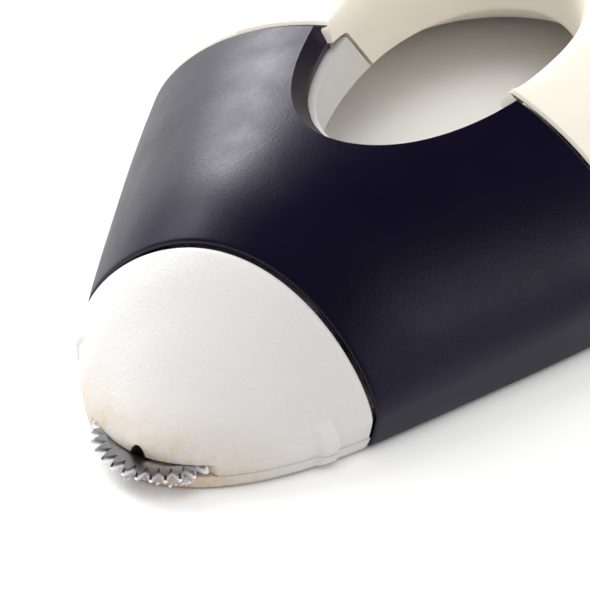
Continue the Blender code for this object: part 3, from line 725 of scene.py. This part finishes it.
def rear_rows(count_hole, count_tail):
    """Leaning planes from the cream seam back to the tail, and where the hole's rim cuts them.

    Gives the planes' places and leans, the u where each row starts, and the turns and rim
    points of the rows beside the hole."""
    front = SLEEVE_BACK + GAP / 2
    first = seam_turn(hole_flare, front, SLEEVE_BACK_LEAN)
    turn = first + (math.pi - first) * eased(count_hole, 0.3)
    edge = rim(turn, hole_flare)
    over = edge[:, 2] - SEAM_Z
    v = (edge[:, 1] - front - SLEEVE_BACK_LEAN * over) / ((LENGTH - front)
                                                          - SLEEVE_BACK_LEAN * over)
    q = np.linspace(0.0, 1.0, count_tail)[1:]
    tail = v[-1] + (1 - v[-1]) * (1 - (1 - q) ** 2.2)
    start = np.arcsin(unit(edge[:, 0] / half_width(edge[:, 1]))) / QUARTER
    start[-1] = 0.0
    all_v = np.concatenate([v, tail])
    start = np.concatenate([start, np.zeros(len(tail))])
    place = front + (LENGTH - front) * all_v
    return place, SLEEVE_BACK_LEAN * (1 - all_v), start, turn, edge


def build_upper_shell():
    """Dome behind the sleeve down to the parting line, and the finger hole's wall, whose edge
    is softened into one roll."""
    place, lean, start, turn, edge = rear_rows(120, 80)
    low = SHELL_SPLIT + GAP / 2
    end = height_to_u(np.clip(place + lean * (low - SEAM_Z), 0.0, LENGTH - 1e-4), low)
    grid = leaning_rows(place, lean, spread(start, end, eased(72, 0.2)))
    away = (place - place[0])[:, None] + 0 * grid[..., 0]
    grid = round_over(grid, away, sizes().edge_round / MM)
    s = (turn - turn[0]) / (math.pi - turn[0])
    depth = np.linspace(0.0, 1.0, 46)
    rim_z = edge[:, 2][:, None]
    z = rim_z + (low - rim_z) * depth
    seam = turn_at(SLEEVE_BACK + GAP / 2 + SLEEVE_BACK_LEAN * (z - SEAM_Z), z)
    liner = turn_at(liner_plane(z, GAP), z)
    ahead = np.where(z > LIP_FROM, seam, np.maximum(seam, liner))
    bent = turn[:, None] + (ahead - ahead[:, :1]) * (1 - s[:, None])
    wall = hole_wall(bent, z, hole_flare)
    wall[:, 0] = grid[:len(turn), 0]
    mesh = sheet_mesh("upper_shell_skin", both_sides(grid) + both_sides(wall[:, ::-1]))
    face_outwards(mesh, 65.0)

    def near_rim(points):
        x, t, z = points.T
        reach = np.where(t < HOLE_AT, HOLE_FRONT, HOLE_BACK)
        off = np.hypot(x / (HOLE_HALF_WIDTH + 3.3), (t - HOLE_AT) / (reach + 3.3)) - 1.0
        fade = unit((0.28 - np.abs(off)) / 0.14)
        behind = (t - SLEEVE_BACK - SLEEVE_BACK_LEAN * (z - SEAM_Z) - 0.5) / 1.5
        return 0.6 * fade * unit(behind) * unit((z - 13.0) / 2.0)

    relax(mesh, near_rim, 26)
    return place_piece("upper_shell_skin", mesh, "case", ["upper_shell"],
                       cream_finish(), 50.0, sizes().skin)


def flat_plate(outline, holes, z):
    """Flat plate with holes: the planar triangulation of its outlines, as bottom, top and
    walls. Outlines are (n, 2) arrays of x and t."""
    loops = [outline] + holes
    points = np.concatenate(loops)
    edges, start = [], 0
    for loop in loops:
        i = np.arange(len(loop)) + start
        edges += list(zip(i.tolist(), np.roll(i, -1).tolist()))
        start += len(loop)
    flat, _, faces, _, _, _ = delaunay_2d_cdt([Vector(p) for p in points.tolist()], edges, [],
                                              1, 1e-5)
    xy = np.array([tuple(p) for p in flat])
    faces = np.array([tuple(f) for f in faces if len(f) == 3])
    middle = xy[faces].mean(axis=1)
    keep = np.ones(len(faces), bool)
    for hole in holes:
        a, b = hole, np.roll(hole, -1, axis=0)
        span = (a[:, 1] > middle[:, 1:]) != (b[:, 1] > middle[:, 1:])
        cross = (b[:, 0] - a[:, 0]) * (middle[:, 1:] - a[:, 1]) / (b[:, 1] - a[:, 1] + 1e-12)
        keep &= (span & (middle[:, :1] < cross + a[:, 0])).sum(axis=1) % 2 == 0
    faces = faces[keep]
    bottom = np.column_stack([xy, np.full(len(xy), z[0])])
    upper = np.column_stack([xy, np.full(len(xy), z[1])])
    n = len(xy)
    bm = bmesh.new()
    verts = [bm.verts.new(p) for p in
             ((np.concatenate([bottom, upper]) - [0.0, MIDDLE, 0.0]) * MM).tolist()]
    for f in faces.tolist():
        bm.faces.new([verts[i] for i in f])
        bm.faces.new([verts[i + n] for i in f[::-1]])
    bm.verts.ensure_lookup_table()
    bm.verts.index_update()
    rims = [tuple(v.index for v in e.verts) for e in bm.edges if len(e.link_faces) == 1]
    for a, b in rims:
        if a < n and b < n:
            bm.faces.new([bm.verts[i] for i in (a, b, b + n, a + n)])
    loose = [v for v in bm.verts if not v.link_faces]
    bmesh.ops.delete(bm, geom=loose, context="VERTS")
    bmesh.ops.recalc_face_normals(bm, faces=bm.faces)
    mesh = bpy.data.meshes.new("plate")
    bm.to_mesh(mesh)
    bm.free()
    return mesh


def join_meshes(name, meshes):
    """One mesh out of several closed ones."""
    bm = bmesh.new()
    for mesh in meshes:
        bm.from_mesh(mesh)
        bpy.data.meshes.remove(mesh)
    joined = bpy.data.meshes.new(name)
    bm.to_mesh(joined)
    bm.free()
    return joined


def circle(middle, radius, count=40):
    turn = np.linspace(0, 2 * math.pi, count, endpoint=False)
    return np.stack([middle[0] + radius * np.cos(turn), middle[1] + radius * np.sin(turn)], -1)


def build_lower_shell():
    """Skirt from the parting line down round the lower corner, the foot of the hole's wall,
    and the flat plate with the finger hole and the four screw recesses."""
    front = SLEEVE_BACK + GAP / 2
    q = np.linspace(0.0, 1.0, 150)
    place = front + (LENGTH - front) * (1 - (1 - q) ** 1.9)
    lean = SLEEVE_BACK_LEAN * (1 - q)
    high = SHELL_SPLIT - GAP / 2
    start = height_to_u(np.clip(place + lean * (high - SEAM_Z), 0.0, LENGTH - 1e-4), high)
    u = np.concatenate([spread(start, np.full(len(q), 2.0), np.linspace(0, 1, 20)),
                        np.ones((len(q), 1)) * [2.5, 3.0]], axis=1)
    skirt = sheet_mesh("skirt", both_sides(leaning_rows(place, lean, u)))
    face_outwards(skirt, 65.0)
    z = np.linspace(high, 0.0, 16)[None, :]
    first = turn_at(liner_plane(z, GAP), z)
    foot = hole_wall(first + (math.pi - first) * np.linspace(0, 1, 60)[:, None], z, hole_flare)
    foot_mesh = sheet_mesh("foot", both_sides(foot))
    face_outwards(foot_mesh, HOLE_AT, inwards=True)
    t = np.concatenate([np.linspace(15.0, SLEEVE_BACK - SLEEVE_BACK_LEAN * SEAM_Z - 0.01, 50),
                        front + 0.1 + (90.0 - front) * (1 - (1 - np.linspace(0, 1, 90)) ** 1.7)])
    inset = np.where(t < SLEEVE_BACK - 1.0, SLEEVE_WALL + GAP, SLEEVE_WALL - 0.2) * grade(t)
    w = np.maximum(half_width(t) - inset, 0.0)
    side = np.stack([w, t], axis=-1)[w > 0.2]
    outline = np.concatenate([side, side[::-1] * [-1.0, 1.0]])
    turn = np.linspace(0, 2 * math.pi, 160, endpoint=False)
    half_turn = np.minimum(turn, 2 * math.pi - turn)
    ahead = half_turn < float(turn_at(liner_plane(np.zeros(1), GAP), np.zeros(1))[0])
    x, tt = hole_edge(turn, HOLE_FOOT + undercut(half_turn, 0.0)
                      + np.where(ahead, LINER_WALL + GAP, 0.2))
    holes = [np.stack([x, tt], axis=-1)]
    holes += [circle(middle, SCREW_HEAD_RADIUS + GAP) for middle in SCREWS.values()]
    plate = flat_plate(outline, holes, (0.04, 2.0))
    thick = sizes().skin
    mesh = join_meshes("lower_shell_skin", [walled(skirt, thick), walled(foot_mesh, thick), plate])
    return place_piece("lower_shell_skin", mesh, "case", ["lower_shell"],
                       cream_finish(), 40.0)


def build_hole_liner():
    """Front wall of the finger hole, from the table to just under the funnel, with its slanted
    ends. The wall lies outside the hole."""
    turns = np.linspace(0.0, 1.0, 90)[:, None]
    z = np.full(90, LIP_FROM)
    for _ in range(6):
        last = turn_at(liner_plane(z), z)
        x, t = hole_edge(turns[:, 0] * last, hole_flare(z))
        z = dome_height(t, x) - (SLEEVE_WALL + GAP) * 1.12
    height = np.linspace(0.0, 1.0, 40)[None, :] * z[:, None]
    last = turn_at(liner_plane(height), height)
    wall = hole_wall(turns * last, height, hole_flare)
    mesh = sheet_mesh("hole_liner_skin", both_sides(wall))
    face_outwards(mesh, HOLE_AT, inwards=True)
    return place_piece("hole_liner_skin", mesh, "case", ["hole_liner"], white_finish(),
                       40.0, 0.0016)


def nose_places(count):
    """Leaning planes over the nose, closer together at its tip: places and leans."""
    q = np.linspace(0.0, 1.0, count)
    last = SLEEVE_FRONT - GAP / 2
    place = last * q ** 1.5
    return place, SLEEVE_FRONT_LEAN * place / last


def nose_inside(grid, wall):
    """The nose cover's inner side: each point of the outside is drawn in towards the middle
    line by the wall's share of the half width, and down by its share of the dome's rise. In
    front of the wall's thickness the rows lie in one plane, closed by its first row."""
    x, t, z = np.moveaxis(grid, -1, 0)
    t = np.maximum(t, wall + 0.4)
    w, low, high = half_width(t), waist(t), top(t)
    share = np.abs(x) / np.maximum(half_width(grid[..., 1]), 1e-6)
    rise = unit((z - waist(grid[..., 1])) / (top(grid[..., 1]) - waist(grid[..., 1])))
    inner_x = unit(share) * np.maximum(w - wall * grade(t), 0.2)
    inner_z = np.where(rise > 0, low + rise * (high - 1.3 * wall - low), z)
    inner_x[0] = 0.0
    return np.stack([inner_x, t, np.minimum(inner_z, z)], axis=-1)


def closed_shell(outer, inner):
    """Blocks of a closed wall: the outside, the inside, and the rims at the last column and the
    last row."""
    side = np.stack([outer[:, -1], inner[:, -1]], axis=1)
    back = np.stack([outer[-1], inner[-1]], axis=0)
    return (both_sides(outer) + both_sides(inner[:, ::-1]) + both_sides(side)
            + both_sides(back[:, ::-1]))


def build_nose_cover():
    """Dished nose dome from the tip to the navy seam, down to the parting line, which steps up
    where the wheel stands out of the plan."""
    place, lean = nose_places(150)
    round_mm = sizes().edge_round / MM
    t = np.clip(place + lean * (PARTING - SEAM_Z), 0.001, LENGTH)
    reach = sizes().wheel_radius / MM + GAP
    chord = np.sqrt(np.clip(reach ** 2 - (t - WHEEL_AT) ** 2, 0.0, None))
    open_front = chord >= half_width(t) - 0.1
    over_wheel = height_to_u(t, np.full(len(t), WHEEL_Z + WHEEL_THICK / 2 + 0.08))
    end = height_to_u(t, np.full(len(t), PARTING - 0.09))
    end = np.where(open_front, over_wheel, end)
    u = np.concatenate([spread(np.zeros(len(place)), over_wheel, eased(84, 0.3)),
                        spread(over_wheel, end, np.linspace(0, 1, 12)[1:])], axis=1)
    grid = nub(leaning_rows(place, lean, u))
    grid = round_over(grid, (place[-1] - place)[:, None] + 0 * u, round_mm)
    mesh = sheet_mesh("nose_cover_skin", closed_shell(grid, nose_inside(grid, NOSE_WALL)))
    recalculate(mesh)
    return place_piece("nose_cover_skin", mesh, "cartridge", ["nose_cover"],
                       frosted_finish(), 50.0)


def slab_mesh(name, x, t, z):
    """Box with bevelled edges, as a closed profile carried along t."""
    b = 0.15
    ring = np.array([(x[0] + b, z[0]), (x[1] - b, z[0]), (x[1], z[0] + b), (x[1], z[1] - b),
                     (x[1] - b, z[1]), (x[0] + b, z[1]), (x[0], z[1] - b), (x[0], z[0] + b),
                     (x[0] + b, z[0])])
    middle = ring[:-1].mean(axis=0)
    rows = []
    for place, scale in ((t[0], 0.0), (t[0], 0.97), (t[0] + b, 1.0), (t[1] - b, 1.0),
                         (t[1], 0.97), (t[1], 0.0)):
        flat = middle + (ring - middle) * scale
        rows.append(np.stack([flat[:, 0], np.full(len(flat), place), flat[:, 1]], axis=-1))
    mesh = sheet_mesh(name, [(np.stack(rows), False)])
    face_outwards(mesh)
    return mesh


def build_nose_base():
    """Lower plate of the nose as a closed form: flat underside, tucked rim and flat top. The
    hopper's tray with its open top follows behind it."""
    place, lean = nose_places(150)
    high = PARTING - GAP / 2
    t = np.clip(place + lean * (high - SEAM_Z), 0.001, LENGTH)
    band = nub(leaning_rows(place, lean, spread(height_to_u(t, np.full(len(t), high)),
                                               np.full(len(t), 2.0), np.linspace(0, 1, 22))))
    across = np.linspace(0.0, 1.0, 12)[None, :, None] * [1.0, 0.0, 0.0] + [0.0, 1.0, 1.0]
    half = np.concatenate([band[:, :1] * across, band, band[:, -1:] * across[:, ::-1]], axis=1)
    cap = np.stack([half[-1], half[-1] * [0.0, 1.0, 1.0]])
    mesh = sheet_mesh("base", both_sides(half) + both_sides(cap))
    recalculate(mesh)
    side, back = HOPPER_HALF_WIDTH, HOPPER_BACK
    lid = HOPPER_TOP - LID_THICK - GAP
    front = SLEEVE_FRONT - 0.2
    tray = [slab_mesh("floor", (-side, side), (front, back), (HOPPER_FLOOR,
                                                           HOPPER_FLOOR + HOPPER_WALL))]
    for x in ((-side, HOPPER_WALL - side), (side - HOPPER_WALL, side)):
        tray.append(slab_mesh("wall", x, (front, back), (HOPPER_FLOOR + 0.5, lid)))
    tray.append(slab_mesh("back", (-side, side), (back - HOPPER_WALL, back - 0.02),
                          (HOPPER_FLOOR + 0.5, lid)))
    tray.append(slab_mesh("riser", (0.2 - side, side - 0.2), (HOPPER_FRONT, front + 0.6),
                          (1.2, lid - 0.1)))
    mesh = join_meshes("nose_base_skin", [mesh] + tray)
    return place_piece("nose_base_skin", mesh, "cartridge", ["nose_base"],
                       frosted_finish(), 35.0)


def turned(name, profile, middle, count=64):
    """Profile of (radius, z) pairs turned about an upright axis at x, t."""
    turn = np.linspace(0, 2 * math.pi, count + 1)[:, None]
    radius, z = np.array(profile).T
    grid = np.stack([middle[0] + radius * np.cos(turn), middle[1] + radius * np.sin(turn),
                     z + 0 * turn], axis=-1)
    mesh = sheet_mesh(name, [(grid, False)], weld=0.001)
    face_outwards(mesh)
    return mesh


def build_chalk_wheel():
    """Toothed disc: the radius over one tooth is a triangle wave with a flat tip, and the
    profile across the thickness is bevelled towards the tips and thinner at the hub."""
    s = sizes()
    tip, depth, teeth = s.wheel_radius / MM, s.tooth_depth / MM, s.teeth
    per = 10
    phase = np.arange(teeth * per + 1) / per
    wave = unit(1.24 * (1 - np.abs(2 * (phase % 1.0) - 1)))
    angle = (phase - 0.5) * 2 * math.pi / teeth - QUARTER
    outline = tip - depth + depth * wave
    half = WHEEL_THICK / 2
    levels = [(0.0, AXLE_RADIUS + GAP, -half), (0.0, HUB_RADIUS, -half), (0.0, 2.3, -half + 0.12),
              (0.0, tip - depth - 0.5, -half + 0.12), (0.0, tip - depth - 0.42, -half + 0.03),
              (1.0, -0.30, -half + 0.03), (1.0, -0.03, -half * 0.42), (1.0, 0.0, -half * 0.3),
              (1.0, 0.0, half * 0.3), (1.0, -0.03, half * 0.42), (1.0, -0.30, half - 0.03),
              (0.0, tip - depth - 0.42, half - 0.03), (0.0, tip - depth - 0.5, half - 0.12),
              (0.0, 2.3, half - 0.12), (0.0, HUB_RADIUS, half), (0.0, AXLE_RADIUS + GAP, half),
              (0.0, AXLE_RADIUS + GAP, -half)]
    share, extra, z = np.array(levels).T
    radius = share[:, None] * outline[None, :] + extra[:, None]
    grid = np.stack([radius * np.cos(angle), WHEEL_AT + radius * np.sin(angle),
                     WHEEL_Z + z[:, None] + 0 * radius], axis=-1)
    mesh = sheet_mesh("chalk_wheel_disc", [(grid, False)], weld=0.001)
    face_outwards(mesh)
    return place_piece("chalk_wheel_disc", mesh, "wheel", ["chalk_wheel"],
                       steel_finish(), 22.0)


def build_wheel_axle():
    r = AXLE_RADIUS
    profile = [(0.0, AXLE_FOOT), (r - 0.12, AXLE_FOOT), (r, AXLE_FOOT + 0.12),
               (r, AXLE_TOP - 0.12), (r - 0.12, AXLE_TOP), (0.0, AXLE_TOP)]
    mesh = turned("wheel_axle_pin", profile, (0.0, WHEEL_AT))
    return place_piece("wheel_axle_pin", mesh, "cartridge", ["wheel_axle"],
                       steel_finish(), 30.0)


def build_case_screws():
    """Pan heads with a rounded rim and a cross-shaped recess, sunk into the underside: the
    head's face is pushed in where either arm of the cross passes."""
    for node, middle in SCREWS.items():
        turn = np.linspace(0, 2 * math.pi, 129)[:, None]
        flat = np.linspace(0.0, SCREW_FACE_RADIUS, 34)
        rim_radius, rim_lift = np.array(SCREW_RIM).T
        face = np.concatenate([flat, rim_radius])
        lift = np.concatenate([0 * flat, rim_lift])
        x, y = np.abs(face * np.cos(turn)), np.abs(face * np.sin(turn))
        arm = np.minimum(np.maximum(x / CROSS_REACH, y / CROSS_HALF_WIDTH),
                         np.maximum(y / CROSS_REACH, x / CROSS_HALF_WIDTH))
        slot = CROSS_DEPTH * unit((1.12 - arm) / 0.24)
        neck = SCREW_SUNK + SCREW_HEAD
        shank = [(SCREW_HEAD_RADIUS, neck), (SCREW_SHANK_RADIUS, neck),
                 (SCREW_SHANK_RADIUS, SCREW_END - 0.1), (0.9, SCREW_END), (0.0, SCREW_END)]
        r, z = np.array(shank).T
        radius = np.concatenate([face, r])[None, :] + 0 * turn
        height = np.concatenate([SCREW_SUNK + lift + slot, z + 0 * turn], axis=1)
        grid = np.stack([middle[0] + radius * np.cos(turn), middle[1] + radius * np.sin(turn),
                         height], axis=-1)
        mesh = sheet_mesh(node + "_turned", [(grid, False)], weld=0.001)
        face_outwards(mesh)
        place_piece(node + "_turned", mesh, "case", [node], steel_finish(), 35.0)


def build_chalk_crumbs():
    """Small lumps of chalk on the rim under the wheel: spheres whose radius wanders with the
    sines of their angles, seeded so that they are the same each time."""
    rng = np.random.default_rng(7)
    count = sizes().crumbs
    if not count:
        return None
    a, b = np.meshgrid(np.linspace(0, math.pi, 7), np.linspace(0, 2 * math.pi, 11),
                       indexing="ij")
    ball = np.stack([np.sin(a) * np.cos(b), np.sin(a) * np.sin(b), np.cos(a)], axis=-1)
    heap = np.concatenate([rng.normal(-0.62, 0.10, count // 2),
                           rng.uniform(-2.6, -0.55, count - count // 2)])
    size = rng.uniform(0.06, 0.17, count)
    reach = rng.uniform(5.0, 5.75, count)
    phase = rng.uniform(0, 6, (count, 1, 1))
    wander = 1 + 0.22 * np.sin(3 * a + phase) * np.sin(2 * b)
    grid = ball * (size[:, None, None] * wander)[..., None] * [1.0, 1.0, 0.7]
    middle = np.stack([reach * np.cos(heap), WHEEL_AT + reach * np.sin(heap),
                       np.full(count, 1.25)], axis=-1)
    middle[:, 2] += size * 0.6
    mesh = sheet_mesh("chalk_crumbs", [(g, False) for g in grid + middle[:, None, None]],
                      weld=0.0005)
    face_outwards(mesh)
    return place_piece("chalk_crumbs", mesh, "cartridge", [], chalk_finish(), 60.0)


def finish_hidden_parts():
    """The inner CAD nodes keep their shapes and get the finished materials."""
    chosen = {"cartridge_socket": white_finish(), "detent_spring": steel_finish(),
              "hopper_lid": white_finish(), "filler_plug": white_finish(),
              "chalk_fill": chalk_finish(), "felt_wiper": felt_finish()}
    for node, finish in chosen.items():
        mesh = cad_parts[node].data
        if not mesh.materials:
            mesh.materials.append(None)
        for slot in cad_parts[node].material_slots:
            slot.material = finish


def softbox(name, place, aim, size, power, glossy):
    """Rectangular light that looks from one point to another."""
    light = bpy.data.lights.new(name, "AREA")
    light.shape = "RECTANGLE"
    light.size, light.size_y = size
    light.energy = power
    lamp = bpy.data.objects.new(name, light)
    bpy.context.scene.collection.objects.link(lamp)
    lamp.location = place
    lamp.rotation_euler = (Vector(aim) - Vector(place)).to_track_quat("-Z", "Y").to_euler()
    lamp.visible_glossy = glossy


def build_stage():
    """Floor, lights and camera."""
    scene = bpy.context.scene
    stage = scene.chalk_marker_stage
    side, low = 2.5, -0.0002
    mesh = bpy.data.meshes.new("floor")
    mesh.from_pydata([(-side, -side, low), (side, -side, low), (side, side, low),
                      (-side, side, low)], [], [(0, 1, 2, 3)])
    floor = bpy.data.objects.new("floor", mesh)
    scene.collection.objects.link(floor)
    mesh.materials.append(floor_finish())
    world = bpy.data.worlds.new("studio")
    scene.world = world
    world.use_nodes = True
    background = world.node_tree.nodes["Background"]
    background.inputs["Color"].default_value = (1.0, 1.0, 1.0, 1.0)
    background.inputs["Strength"].default_value = stage.ambient
    world.cycles_visibility.glossy = False
    for name, place, size, power, glossy in LAMPS:
        softbox(name, place, LAMPS_AIM, size, power[1] * getattr(stage, power[0]), glossy)
    data = bpy.data.cameras.new("camera")
    data.lens = stage.lens
    data.sensor_width = 36.0
    data.clip_start, data.clip_end = 0.01, 10.0
    camera = bpy.data.objects.new("camera", data)
    scene.collection.objects.link(camera)
    a, e = stage.azimuth, stage.elevation
    back = Vector((math.sin(a) * math.cos(e), -math.cos(a) * math.cos(e), math.sin(e)))
    camera.location = Vector(stage.target) + back * stage.distance
    camera.rotation_euler = (-back).to_track_quat("-Z", "Y").to_euler()
    scene.camera = camera
    scene.view_settings.view_transform = "Standard"


# --- operators, panel and registration --------------------------------------------------------
class CHALKMARKER_OT_grip_sleeve(bpy.types.Operator):
    """Build the navy grip sleeve with its funnel"""
    bl_idname = "chalk_marker.grip_sleeve"
    bl_label = "Grip sleeve"

    def execute(self, context):
        build_grip_sleeve()
        return {"FINISHED"}


class CHALKMARKER_OT_shells(bpy.types.Operator):
    """Build the cream upper and lower shells"""
    bl_idname = "chalk_marker.shells"
    bl_label = "Cream shells"

    def execute(self, context):
        build_upper_shell()
        build_lower_shell()
        return {"FINISHED"}


class CHALKMARKER_OT_hole_liner(bpy.types.Operator):
    """Build the white wall at the front of the finger hole"""
    bl_idname = "chalk_marker.hole_liner"
    bl_label = "Hole liner"

    def execute(self, context):
        build_hole_liner()
        return {"FINISHED"}


class CHALKMARKER_OT_nose(bpy.types.Operator):
    """Build the frosted nose: its cover and its base with the hopper's tray"""
    bl_idname = "chalk_marker.nose"
    bl_label = "Nose"

    def execute(self, context):
        build_nose_cover()
        build_nose_base()
        return {"FINISHED"}


class CHALKMARKER_OT_wheel(bpy.types.Operator):
    """Build the toothed wheel and its axle"""
    bl_idname = "chalk_marker.wheel"
    bl_label = "Wheel and axle"

    def execute(self, context):
        build_chalk_wheel()
        build_wheel_axle()
        return {"FINISHED"}


class CHALKMARKER_OT_screws(bpy.types.Operator):
    """Build the four case screws"""
    bl_idname = "chalk_marker.screws"
    bl_label = "Case screws"

    def execute(self, context):
        build_case_screws()
        return {"FINISHED"}


class CHALKMARKER_OT_crumbs(bpy.types.Operator):
    """Build the crumbs of chalk by the wheel"""
    bl_idname = "chalk_marker.crumbs"
    bl_label = "Chalk crumbs"

    def execute(self, context):
        build_chalk_crumbs()
        return {"FINISHED"}


class CHALKMARKER_OT_hidden_parts(bpy.types.Operator):
    """Give the inner pieces of the frame their finishes"""
    bl_idname = "chalk_marker.hidden_parts"
    bl_label = "Inner pieces"

    def execute(self, context):
        finish_hidden_parts()
        return {"FINISHED"}


class CHALKMARKER_OT_stage(bpy.types.Operator):
    """Build the floor, the lights and the camera"""
    bl_idname = "chalk_marker.stage"
    bl_label = "Stage"

    def execute(self, context):
        build_stage()
        return {"FINISHED"}


STEPS = (CHALKMARKER_OT_grip_sleeve, CHALKMARKER_OT_shells, CHALKMARKER_OT_hole_liner,
         CHALKMARKER_OT_nose, CHALKMARKER_OT_wheel, CHALKMARKER_OT_screws,
         CHALKMARKER_OT_crumbs, CHALKMARKER_OT_hidden_parts, CHALKMARKER_OT_stage)


class CHALKMARKER_PT_panel(bpy.types.Panel):
    bl_idname = "CHALKMARKER_PT_panel"
    bl_label = "Chalk marker"
    bl_space_type = "VIEW_3D"
    bl_region_type = "UI"
    bl_category = "Chalk marker"

    def draw(self, context):
        layout = self.layout
        for group in (context.scene.chalk_marker_sizes, context.scene.chalk_marker_finishes,
                      context.scene.chalk_marker_stage):
            box = layout.box()
            for name in group.bl_rna.properties.keys():
                if name not in ("rna_type", "name"):
                    box.prop(group, name)
        for step in STEPS:
            layout.operator(step.bl_idname)


CLASSES = (ChalkMarkerSizes, ChalkMarkerFinishes, ChalkMarkerStage) + STEPS + (
    CHALKMARKER_PT_panel,)


def register():
    for cls in CLASSES:
        bpy.utils.register_class(cls)
    bpy.types.Scene.chalk_marker_sizes = PointerProperty(type=ChalkMarkerSizes)
    bpy.types.Scene.chalk_marker_finishes = PointerProperty(type=ChalkMarkerFinishes)
    bpy.types.Scene.chalk_marker_stage = PointerProperty(type=ChalkMarkerStage)


def unregister():
    del bpy.types.Scene.chalk_marker_sizes
    del bpy.types.Scene.chalk_marker_finishes
    del bpy.types.Scene.chalk_marker_stage
    for cls in reversed(CLASSES):
        bpy.utils.unregister_class(cls)


def main():
    register()
    for step in STEPS:
        group, name = step.bl_idname.split(".")
        getattr(getattr(bpy.ops, group), name)()


if __name__ == "__main__":
    main()
